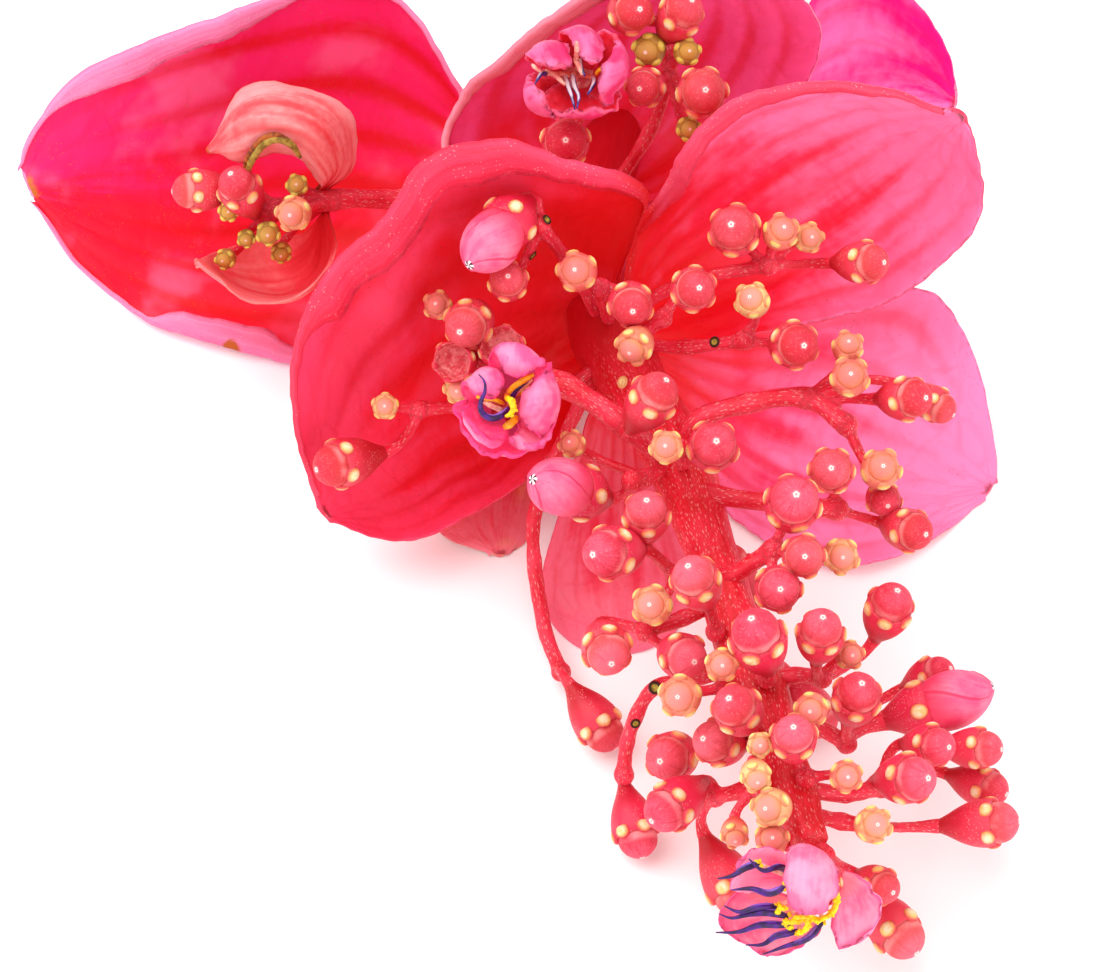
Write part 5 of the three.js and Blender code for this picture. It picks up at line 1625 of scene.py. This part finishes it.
# %% [markdown]
# ## Scars
#
# Where an old bud or a small bract has dropped off, it leaves a round scar with a dark
# raised ring and a yellow-green middle. A ring of colour alone would lie flat, so a disc
# is inset, its ring pulled up and its middle pushed down. Each scar sits on the nearest
# skin of the stalk that carries it and faces the way that the skin does.

# %% Scars
def scar_finish(name, middle, dark_middle, ring):
    f = Finish(name, Roughness=0.6, Specular_IOR_Level=0.3)
    out = f.attribute("out")
    grain = f.noise(f.spot(), 1600, 3)
    colour = f.mix(middle, dark_middle, f.fade(grain, 0.4, 0.7))
    colour = f.mix(colour, ring, f.fade(out, 0.42, 0.62))
    colour = f.mix(colour, "#c81c28", f.fade(out, 0.92, 1.0))
    f.relief(grain, 0.2, 0.8)
    return f.paint(colour)


RINGED = scar_finish("ringed_scar", "#b8a43c", "#7c6418", "#38180c")
DRY = scar_finish("dry_scar", "#f4e09c", "#d8b464", "#e8b070")
SCARS = {
    # the skin that carries it: (place on the sheet, radius in mm, finish)
    "lilac_branchlet": [((88.2, 34.4, 0), 0.9, RINGED), ((86.6, 41.6, -6), 0.9, RINGED)],
    "main_stem": [((87.6, 55.2, 0), 1.1, DRY)],
    "right_branchlet": [((112.6, 53.4, -8), 0.95, RINGED)],
    "low_right_branchlet": [((128.6, 77, 4), 0.9, DRY)],
    "low_hanging_branchlet": [((104.2, 110.4, 12), 1.15, RINGED), ((101.8, 116.6, 10), 0.85, RINGED)],
}


SCAR_FOOT = (-0.5, 1.15)  # how deep the disc starts in the skin, and its radius
SCAR_STEPS = ((0.55, 0.9), (0.2, 0.82), (0.0, 0.75), (-0.22, 0.72), (0.08, 0.4))  # up, and size


def scar(name, carrier, spot, radius, finish):
    piece = raised_disc(*SCAR_FOOT, 20)
    for up, size in SCAR_STEPS:
        bpy.ops.mesh.extrude_region_move(TRANSFORM_OT_translate={"value": (0, 0, up)})
        bpy.ops.transform.resize(value=(size, size, 1))
    bpy.ops.object.mode_set(mode="OBJECT")
    subdivide(piece)
    points = points_of(piece.data)
    mark(piece.data, "out", np.hypot(points[:, 0], points[:, 1]))
    _, seat, normal, _ = carrier.closest_point_on_mesh(Vector(place(spot)))
    turn = normal.to_track_quat("Z", "Y").to_matrix().to_4x4()
    piece.data.transform(Matrix.Translation(seat) @ turn @ Matrix.Scale(radius * MM, 4))
    piece.data.materials.append(finish)
    return joined(name, [piece])


scars = []
for carrier, places in SCARS.items():
    skin = bpy.data.objects[carrier + ("_skin" if carrier == "main_stem" else "_stalks")]
    marks = [scar("scar", skin, *entry) for entry in places]
    slot = "stem" if carrier == "main_stem" else "branchlet"
    scars.append(keep(joined(carrier + "_scars", marks), carrier))
print(len(scars), "stalks with scars")

# %% [markdown]
# ## The withered hook
#
# The inner margin of the upper side bract has dried to a brown hook with an olive
# lining. It could be drawn into the bract's own grid, but would stretch its squares too
# far, so it is one thin tube beside another.

# %% The withered hook of the upper side bract
HOOK = [(38.8, 27.6, -35), (40, 24.6, -32), (42, 22.2, -30), (44.2, 21.6, -29.4), (46.2, 22.6, -30),
        (47.6, 24.6, -32)]
LINING_OFFSET = (0.5, 0.6, -0.3)  # mm across, down and in depth
HOOK_STATIONS = 20


def dried(name, dark, light):
    f = Finish(name, Roughness=0.6, Specular_IOR_Level=0.3)
    grain = f.noise(f.spot(), 900, 3)
    f.relief(grain, 0.2, 0.8)
    return f.paint(f.mix(dark, light, f.fade(grain, 0.35, 0.65)))


def hook_tube(places, radius, finish):
    """A tube that thins towards both ends."""
    line = smooth_line(places, np.linspace(0, 1, HOOK_STATIONS))
    thin = 1 - 0.6 * np.abs(np.linspace(-1, 1, HOOK_STATIONS)) ** 3
    piece = tube("hook", line, radius * MM * thin, 8)
    piece.data.materials.append(finish)
    return piece


lining = [tuple(np.add(spot, LINING_OFFSET)) for spot in HOOK]
hook = [
    hook_tube(HOOK, 0.5, dried("dried_margin", "#6c2c10", "#b0581c")),
    hook_tube(lining, 0.75, dried("olive_lining", "#7c5c14", "#b0903c")),
]
keep(joined("side_bract_hook", hook), "side_upper_bract")
print("hook:", faces(hook[:1]), "faces")

# %% [markdown]
# ## Open flowers
#
# Two flowers are half open: their four thick petals stand up and curl in over the
# middle, with crinkled margins. The flower at the tip has opened wide. A petal is a
# small blade, laid between its edges and its midrib like the bracts, but with a frill
# along its free margin. The grid could be pinched by hand instead, but lines keep each
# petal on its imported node. The filaments, which end in anthers, are lines too.

# %% The lines of the petals and filaments
PETALS = {
    # name: left edge, midrib and right edge, as for the bracts
    "top_petal_1": (
        [(88.5, 11.5, -18), (84.8, 9.5, -13), (84.8, 8.8, -8.5), (86, 10.2, -6)],
        [(90, 11, -19), (86.5, 7.5, -13.5), (87.3, 7.3, -7.5), (88.5, 10.8, -4.5)],
        [(91.5, 10.5, -18), (90, 7.2, -13), (90.6, 7.6, -8), (91.2, 11, -5.5)],
    ),
    "top_petal_2": (
        [(91, 10.5, -19), (90.2, 5.8, -13.5), (91, 5.4, -9), (92.4, 7.8, -7)],
        [(92.5, 10.5, -19), (93, 4.9, -14), (93.6, 5.3, -7), (94.4, 10.2, -5.5)],
        [(94.5, 11, -18), (96, 6.5, -13), (96, 7.5, -9), (96, 9.6, -7)],
    ),
    "top_petal_3": (
        [(95, 10, -18), (97.2, 5.8, -14.5), (98.6, 6.8, -10.5), (98.2, 8.8, -8.5)],
        [(95, 12.5, -19), (99.3, 9.4, -15), (100, 10.8, -9), (97.3, 11.8, -6), (96, 12.8, -6.5)],
        [(94, 14.5, -18), (97.8, 15, -14), (98, 15, -9.5), (96.3, 16.5, -8)],
    ),
    "top_petal_4": (
        [(89.5, 13, -18), (85, 13, -13.5), (84.6, 14, -8.5), (86, 13.6, -6.5)],
        [(90, 14.5, -19), (86.5, 17, -14), (85.3, 17.2, -8.5), (87, 15.8, -5.5)],
        [(92.5, 15, -19), (91, 18, -14), (89, 18.7, -10.5), (88.5, 18.4, -9.5)],
    ),
    "left_petal_1": (
        [(80.5, 62, 2.5), (79.6, 57, 8), (79.8, 55.6, 12), (80.2, 58.6, 14.5)],
        [(82.5, 62, 2), (83.4, 56.5, 8), (83, 55.6, 13.5), (82.2, 60.2, 16)],
        [(84.5, 62.5, 2.5), (86.6, 59, 8), (86, 58, 13), (84.9, 59.6, 14.5)],
    ),
    "left_petal_2": (
        [(84.5, 63, 2.5), (88, 60.2, 7), (87.6, 59.4, 12), (86, 60.8, 14.5)],
        [(85, 65.5, 1.5), (89.2, 63.8, 7), (88.5, 63.8, 13.5), (85.5, 64, 17), (83.2, 65, 16)],
        [(84, 68, 2.5), (88.2, 67.7, 7), (87.6, 68.2, 12), (84.8, 69, 14.5)],
    ),
    "left_petal_3": (
        [(78.5, 65.5, 2.5), (74.7, 62.6, 7), (74.6, 61.4, 12), (75.8, 62.8, 14)],
        [(79, 63.5, 2), (76.4, 59.8, 7.5), (77, 60.2, 13), (78.5, 63.8, 15)],
        [(80, 62.5, 2.5), (78.6, 59, 7.5), (79.6, 59.8, 12.5), (80.6, 62.2, 14)],
    ),
    "left_petal_4": (
        [(79, 66.8, 2.5), (75, 65, 6), (73.4, 65.8, 9), (73.6, 68.5, 11.5)],
        [(80.8, 68, 2), (79.6, 70.5, 5.5), (78.8, 72, 8.5), (78, 72.6, 11.5)],
        [(83, 68.5, 2.5), (86.2, 70.4, 6), (85.6, 71.8, 9), (83, 72.6, 11.5)],
    ),
    "tip_petal_upper": (
        [(127.5, 138, 46.5), (124, 135.8, 50.5), (121, 135.9, 52.5), (119, 137, 53.5)],
        [(127, 139.8, 46), (123, 139, 49), (120, 139.2, 51), (117.6, 140, 52)],
        [(126.5, 142, 47), (123, 142.6, 49.5), (119.5, 143, 50.5), (116.5, 142.2, 51)],
    ),
    "tip_petal_curled": (
        [(129.5, 137.8, 46.5), (126.4, 135.8, 53.5), (125.6, 139.2, 58), (126, 144.8, 59.5)],
        [(131.3, 138.2, 46.5), (129.6, 135.9, 56), (129.4, 140.5, 61.5), (128.8, 146.2, 59.5)],
        [(133, 138.8, 46.5), (133.4, 138.6, 54), (133.6, 142, 58), (131.6, 145.4, 58)],
    ),
    "tip_petal_right": (
        [(133, 141.5, 44), (133.2, 144.5, 47), (133, 148, 49), (134.3, 152.3, 48.5)],
        [(134.2, 140.5, 44), (136.6, 143.6, 45.5), (137.6, 147.5, 47), (137.2, 150.8, 48.5)],
        [(135.4, 139.2, 44), (138.4, 141, 46.5), (141, 144.6, 48.5), (139.8, 148.9, 48.5)],
    ),
    "tip_petal_lower": (
        [(126.5, 143.5, 45.5), (120.5, 142.2, 45), (115.6, 144.6, 45), (115.4, 148.2, 45),
         (119, 150.8, 44.5), (122.4, 152.6, 44.5)],
        [(128, 145, 44.5), (124, 146.5, 42.5), (121.5, 148.8, 42), (122.4, 152.6, 44.5)],
        [(129.5, 146, 45.5), (131, 148.4, 46.5), (128.4, 151.4, 46), (125, 152.7, 45),
         (122.4, 152.6, 44.5)],
    ),
}

STAMENS = {
    # name: the hub that the filaments leave from, and the line of each anther
    "top_stamens": (
        (92, 11.8, -17.9),
        [
            [(90.4, 12.2, -10), (91, 14, -7.5), (91.6, 15.8, -6.5), (92, 17.6, -6.5)],
            [(91.6, 12, -10), (92, 14, -7.5), (92.6, 15.4, -6.5), (92.3, 17.4, -6.2)],
            [(92.8, 9.6, -10), (93, 10.8, -8), (93.6, 12.2, -7.5)],
            [(87.4, 11.8, -11), (86.6, 11.8, -7.8), (85.6, 13.4, -6.5)],
            [(95, 12.4, -11), (95, 13.4, -8), (94, 15.2, -7)],
        ],
    ),
    "left_stamens": (
        (81.4, 65.2, 3.7),
        [
            [(81.3, 65.4, 13), (80.1, 66.5, 15.5), (78.6, 66.9, 16.5), (77.1, 66, 17), (76.9, 64.4, 17),
             (77.6, 62.6, 17), (77.5, 61, 16.8), (76.6, 59.9, 16.2)],
            [(81.6, 64, 10), (82.6, 62.4, 13), (84.6, 60.9, 14)],
            [(82, 66.4, 11), (82, 67.6, 14), (81, 68.4, 15)],
        ],
    ),
    "tip_stamens": (
        (130.6, 142.2, 47.6),
        [
            [(126.2, 139.4, 52.5), (124.4, 138.7, 56), (122.1, 139.3, 57), (119.8, 137.4, 57)],
            [(121.4, 138.2, 54.5), (119.3, 138.8, 55.5), (117.2, 140.1, 56), (114.8, 140.6, 56)],
            [(125.8, 141.8, 57), (123.1, 142.9, 57), (120.3, 142.2, 57), (117, 142.4, 56.5)],
            [(124.4, 145, 54), (121, 145.2, 55.5), (118.2, 145.9, 55.5), (115.8, 144.9, 55)],
            [(126, 146.6, 53.5), (123.1, 146, 55), (119.8, 146.3, 55), (117, 146.9, 54.5), (115, 146.2, 54)],
            [(126.4, 148, 53), (121.6, 148, 54), (118.2, 149.1, 53.5), (114.5, 149.2, 53)],
            [(127.6, 149, 52), (124.1, 149.8, 53), (122.1, 151.1, 52.5), (119.3, 151.2, 52)],
            [(131.6, 147.4, 51), (129.2, 150.1, 52.5), (125.1, 151.6, 52.5), (122.1, 152.7, 52)],
        ],
    ),
}

print(len(PETALS), "petals,", sum(len(lines) for _, lines in STAMENS.values()), "filaments")


# %% [markdown]
# ## The petals' finish
#
# A petal is rose with paler patches, in part its bloom and in part painted highlight,
# darker at its heart, and its thin margin has begun to wither in dark specks. Light
# comes through it from behind. A translucent shader would be lost when the materials
# are baked, so a slight glow in the petal's own colour stands for that light.

# %% The petals' finish
def petal_finish(name, body, light, margin, heart, glow, reach=0.3, rim=0.84):
    """glow stands for the light that comes through a petal from behind. The heart's colour
    goes as far along as reach, and the margin's starts at rim."""
    f = fleshy(name, 0.25, PETAL_RADIUS)
    f.feed(f.shader.inputs["Emission Color"], body)
    f.feed(f.shader.inputs["Emission Strength"], glow)
    along, side, vein = f.attributes("along", "side", "vein")
    spot = f.spot()
    sheet = f.vector(side * 4.0, along * 2.0, 0.0)
    streaks = f.noise(sheet, 1.6, 3)
    cloud = f.noise(spot, 260, 3)
    grain = f.noise(spot, 1600, 3)
    # The patches of the light colour are in part painted highlight.
    colour = f.mix(body, light, f.fade(cloud * 0.8 + streaks * 0.25, 0.42, 0.66))
    colour = f.mix(heart, colour, f.fade(along + (cloud - 0.5) * 0.2, reach * 0.6, reach * 1.3))
    free = abs(side).math("MAXIMUM", along)
    edge = f.fade(free + (cloud - 0.5) * 0.2, rim, 1.0)
    colour = f.mix(colour, margin, edge * 0.75)
    colour = f.mix(colour, margin, vein * 0.12)
    withered = f.fade(f.noise(spot, 800, 3), 0.5, 0.62) * f.fade(free, 0.9, 0.97)
    colour = f.mix(colour, "#7c1c38", withered * 0.7)
    f.relief(grain * 0.3 + cloud + streaks * 0.4, 0.2, 0.6)
    return f.paint(colour, 0.42 + grain * 0.2)


FLOWER_LOOKS = {
    # flower: outside, inside (body, light, margin, heart, glow)
    "top": (
        ("#dc2c68", "#ee6498", "#f078a4", "#e01c34", 0.0),
        ("#ee2038", "#f84860", "#f06890", "#c01020", 0.1),
    ),
    "left": (
        ("#ea5890", "#f78cb4", "#dc2860", "#ee3c70", 0.0),
        ("#f04078", "#fa749c", "#e0286c", "#8c1c20", 0.3),
    ),
    "tip": (
        ("#f06490", "#f898b8", "#e83c7c", "#ee7c90", 0.0),
        ("#e8204c", "#f2446c", "#f898c0", "#d01840", 0.1),
    ),
}
petal_finishes = {}
for flower, looks in FLOWER_LOOKS.items():
    for where, look in zip(("outside", "inside"), looks):
        petal_finishes[flower, where] = petal_finish(f"{flower}_petal_{where}", *look)
TOP_PETAL = petal_finish("tip_petal_hood", "#f01c54", "#fa6490", "#fbaccc", "#d83058", 0.25, 0.2, 0.3)
FLOOR_PETAL = petal_finish("tip_petal_floor", "#ee5880", "#f68ca4", "#e82460", "#ee7078", 0.05)
print(len(petal_finishes) + 2, "petal finishes")

# %% [markdown]
# ## The petals
#
# A petal is a blade with hardly a furrow and a strong frill. Between the petals of the
# half-open flowers stand creased lobes, small blades too, which join the nearest petal.
# They could be folds of the petal's own grid, but a fold that tight would cross itself.
# The outside finish goes on the side that looks away from the flower's middle.

# %% The petals
PETAL_GRID = (30, 34)
PETAL_WAVES, PETAL_GROOVE, OPEN_RUFFLE, HALF_OPEN_RUFFLE = 0.4, 0.02, 0.8, 1.2  # mm
SPREAD = {
    # how much wider than its packed edges a petal is drawn
    "top_petal_1": 1.15, "top_petal_2": 1.3, "top_petal_3": 1.25, "top_petal_4": 1.2,
    "left_petal_1": 1.3, "left_petal_2": 1.3, "left_petal_3": 1.25, "left_petal_4": 1.1,
}
FOLDS = {
    # creased lobes between the petals of the half-open flowers, joined to the nearest one
    "top_petal_4": [
        (
            [(90, 13.5, -18), (88.2, 15.6, -14), (88, 17.4, -10), (88.4, 18, -8.5)],
            [(92.5, 14.5, -19), (93, 18, -14), (93.2, 18.6, -10), (93, 17.6, -8.6)],
            [(95.5, 13.5, -18), (98, 15.6, -14), (97.6, 17.8, -10), (96.6, 17.6, -8.5)],
        ),
    ],
    "left_petal_4": [
        (
            [(83, 65.5, 6), (83.4, 68.4, 11), (82.6, 69.8, 14), (81.4, 70, 15)],
            [(84.6, 66.5, 5), (86.4, 69.6, 10), (84.8, 71.4, 13.5), (83, 71.4, 14.5)],
            [(86, 64.5, 6), (88.2, 67.4, 10), (87.6, 70, 12.5), (86, 71.6, 12.5)],
        ),
        (
            [(77, 64.5, 6), (74.6, 65.4, 10), (74, 66.6, 13), (74.6, 67.6, 14)],
            [(78.5, 66.5, 6), (76.6, 69.4, 10.5), (76.8, 70.6, 13.5), (77.6, 70, 14.5)],
            [(80.5, 67, 7), (80.8, 69.8, 11), (80.4, 71, 13), (80, 70.2, 14)],
        ),
    ],
}


def petal(name, edges, seed):
    flower = name.split("_")[0]
    outside, inside = petal_finishes[flower, "outside"], petal_finishes[flower, "inside"]
    special = {"tip_petal_lower": (FLOOR_PETAL, outside), "tip_petal_upper": (TOP_PETAL, outside)}
    looks = special.get(name, (outside, inside))
    if flower == "tip":
        front, ruffle = None, OPEN_RUFFLE
    else:
        heart = place(STAMENS[flower + "_stamens"][0])
        front, ruffle = lambda points: points - heart, HALF_OPEN_RUFFLE
    return blade(
        name + "_blade", edges, PETAL_GRID, looks, PETAL_WAVES, PETAL_GROOVE, ruffle, seed,
        front=front, spread=SPREAD.get(name, 1.0),
    )


petals = []
for seed, (name, edges) in enumerate(PETALS.items()):
    outlines = [edges, *FOLDS.get(name, [])]
    lobes = [petal(name, lobe, seed + 70 + 5 * i) for i, lobe in enumerate(outlines)]
    petals.append(keep(joined(name + "_blade", lobes), name))
print(len(petals), "petals,", faces(petals), "faces")

# %% [markdown]
# ## Stamens
#
# A stamen is a pale thread that ends in a long curved anther, deep violet with a lilac
# back, and where the two meet sits a knobbly yellow spur. The back always lies on the
# tube's upper side, turned to the lamps, so it is in part a painted highlight. Each
# anther is a tube that tapers to a thread at its tip. The colour changes round it, which
# the straightened coordinates of the tube make easy to say.

# %% The stamens' finishes
def anther_finish(name, dark, violet, back, share):
    """share says how much of the anther's girth its pale back takes. The back lies on the
    upper side of the tube, turned to the lamps, and is in part a painted highlight.
    """
    f = Finish(name, Roughness=0.4, Specular_IOR_Level=0.4)
    grain = f.attribute("grain", "Vector")
    x, y, _ = f.split(grain)
    cloud = f.noise(grain, 900, 3)
    lit_side = f.fade(x * 1000 + y * 700 + (cloud - 0.5) * 0.3, 0.3 - share, 0.5 - share)
    colour = f.mix(dark, violet, f.fade(cloud, 0.35, 0.7))
    # The pale back on the upper side: in part a painted highlight.
    colour = f.mix(colour, back, lit_side * 0.85)
    f.relief(cloud, 0.1, 0.6)
    return f.paint(colour)


def thread_finish(name, dark, light):
    f = Finish(name, Roughness=0.45, Specular_IOR_Level=0.35)
    cloud = f.noise(f.spot(), 900, 3)
    f.relief(cloud, 0.15, 0.7)
    return f.paint(f.mix(dark, light, f.fade(cloud, 0.35, 0.65)))


VIOLET_ANTHER = anther_finish("violet_anther", "#26043c", "#4c0880", "#9468d4", -0.14)
PALE_ANTHER = anther_finish("pale_anther", "#1c0c4c", "#4838a0", "#e8ccd0", 0.1)
STRAND_LOOKS = {
    "pale": thread_finish("pale_strand", "#e88078", "#f8c0ac"),
    "orange": thread_finish("orange_strand", "#e07808", "#f8a818"),
    "yellow": thread_finish("yellow_strand", "#f4b000", "#fce010"),
}

print(len(STRAND_LOOKS) + 2, "stamen finishes")

# %% [markdown]
# ## Strands and spurs
#
# Between the anthers lie the pale or orange feet of the filaments and the knobbly yellow
# spurs. Metaballs would run into knobs by themselves, but can't be told where to bend,
# so a strand is a short tube along three to five places, and a spur is five stubs that
# point anywhere on its upper side.

# %% The strands between the anthers
STRANDS = {
    # the feet of the filaments and their yellow spurs: (look, radius in mm, line)
    "top_stamens": [
        ("orange", 0.4, [(95.4, 11.9, -8.5), (96, 11.1, -7), (96.9, 10.9, -6.6)]),
        ("pale", 0.45, [(92.2, 9.4, -8), (92.3, 7.6, -5), (92.2, 6.6, -5)]),
        ("pale", 0.35, [(86.4, 11.4, -7.8), (85.6, 10.8, -6.8), (85.1, 10.3, -6.6)]),
        ("pale", 0.4, [(87.4, 11.2, -10), (89.2, 12.4, -8), (90.4, 13.6, -7.8)]),
        ("pale", 0.45, [(92, 9.4, -9.5), (92.5, 10.4, -8), (93.2, 12, -7.8)]),
    ],
    "left_stamens": [
        ("yellow", 0.55, [(81, 63.6, 13), (81.8, 64.3, 16), (82.2, 65.4, 16.4), (81.5, 66.4, 16)]),
        ("orange", 0.7, [(82.6, 66.8, 13), (81.7, 67.8, 14.6), (80.6, 68.4, 14.4)]),
        ("orange", 0.6, [(81, 63.4, 11), (82.6, 61.6, 13.4), (85.4, 59.9, 14)]),
        ("orange", 0.55, [(83, 63, 11), (84.2, 62.4, 13), (85.6, 62.1, 13.4)]),
        ("pale", 0.5, [(81.8, 63.6, 11), (83.6, 61.9, 12.8), (85.2, 60.7, 13.2)]),
        ("pale", 0.5, [(80.6, 65.8, 12), (79, 65.1, 13.6), (77.4, 64.3, 14)]),
        ("orange", 0.4, [(80.6, 64.6, 12), (79.2, 64, 14), (76.2, 63.5, 14.4)]),
    ],
    "tip_stamens": [
        ("yellow", 0.5, [(132.6, 139.4, 53), (133.6, 141.6, 55.6), (133.9, 144, 56), (133, 146.2, 55),
                         (131, 147.2, 54.5)]),
        ("yellow", 0.45, [(132.9, 141, 55), (132.9, 143, 57), (131.2, 145.4, 57), (129.4, 146.4, 56.4),
                          (127, 147, 54.8)]),
        ("yellow", 0.5, [(131.4, 147.2, 54.5), (129.4, 147, 54.2), (127.4, 147.4, 54), (125.8, 147.6, 54)]),
        ("yellow", 0.45, [(129, 146.8, 55), (129.2, 148.2, 54.5), (128.2, 149.3, 53.8)]),
        ("yellow", 0.4, [(126, 145.4, 54.5), (125, 145.2, 55.2), (124.2, 146, 55.2)]),
    ],
}

print(sum(len(strands) for strands in STRANDS.values()), "strands")

# %% Stamens
# radii along a thread, in mm
ANTHER_GIRTH = (0.42, 0.62, 0.55, 0.4, 0.26, 0.1)
SLIM_GIRTH = (0.3, 0.45, 0.42, 0.36, 0.26, 0.1)
FILAMENT_GIRTH = (0.42, 0.34)
KNOB_GIRTH = (0.3, 0.32, 0.16)
STRAND_TAPER = (0.7, 1, 0.85, 1, 0.6)  # shares of a strand's own radius
KNOBS = 5


def thread(places, radii, finish, count=16):
    """A thin tube whose radii are spread evenly along it."""
    shares = np.linspace(0, 1, count)
    girth = np.interp(shares, np.linspace(0, 1, len(radii)), radii)
    made = tube("thread", smooth_line(places, shares), girth * MM, 8)
    made.data.materials.append(finish)
    return made


def spur(spot, size):
    """A small yellow star of blunt knobs."""
    knobs = []
    for _ in range(KNOBS):
        heading = unit(np.array([random_source.gauss(0, 1), random_source.gauss(0, 1), 0.6]))
        end = tuple(np.array(spot) + heading * size)
        knobs.append(thread([spot, end], KNOB_GIRTH, STRAND_LOOKS["yellow"], 5))
    return knobs


stamen_pieces = []
for name, (hub, filaments) in STAMENS.items():
    slim = name == "top_stamens"
    anther, girth = (PALE_ANTHER, SLIM_GIRTH) if slim else (VIOLET_ANTHER, ANTHER_GIRTH)
    parts = []
    for filament in filaments:
        parts.append(thread([hub, filament[0]], FILAMENT_GIRTH, STRAND_LOOKS["pale"], 8))
        parts.append(thread(filament, girth, anther, 24))
        if name == "tip_stamens":
            parts += spur(filament[0], 0.9)
    for look, radius, line in STRANDS[name]:
        parts.append(thread(line, [radius * share for share in STRAND_TAPER], STRAND_LOOKS[look]))
        if look == "yellow":
            parts += [knob for spot in line[1:] for knob in spur(spot, 0.8)]
    made = joined(name + "_threads", parts)
    stamen_pieces.append(keep(made, name))
print(len(stamen_pieces), "sets of stamens,", faces(stamen_pieces), "faces")

# %% [markdown]
# ## Closing
#
# The forms that the copies came from are deleted, because they stand for no node. They
# could be hidden instead, but a hidden piece is still a piece.

# %% Close the scene
for spare in [*forms.values(), *straight_tubes.values(), knot_form]:
    bpy.data.objects.remove(spare)
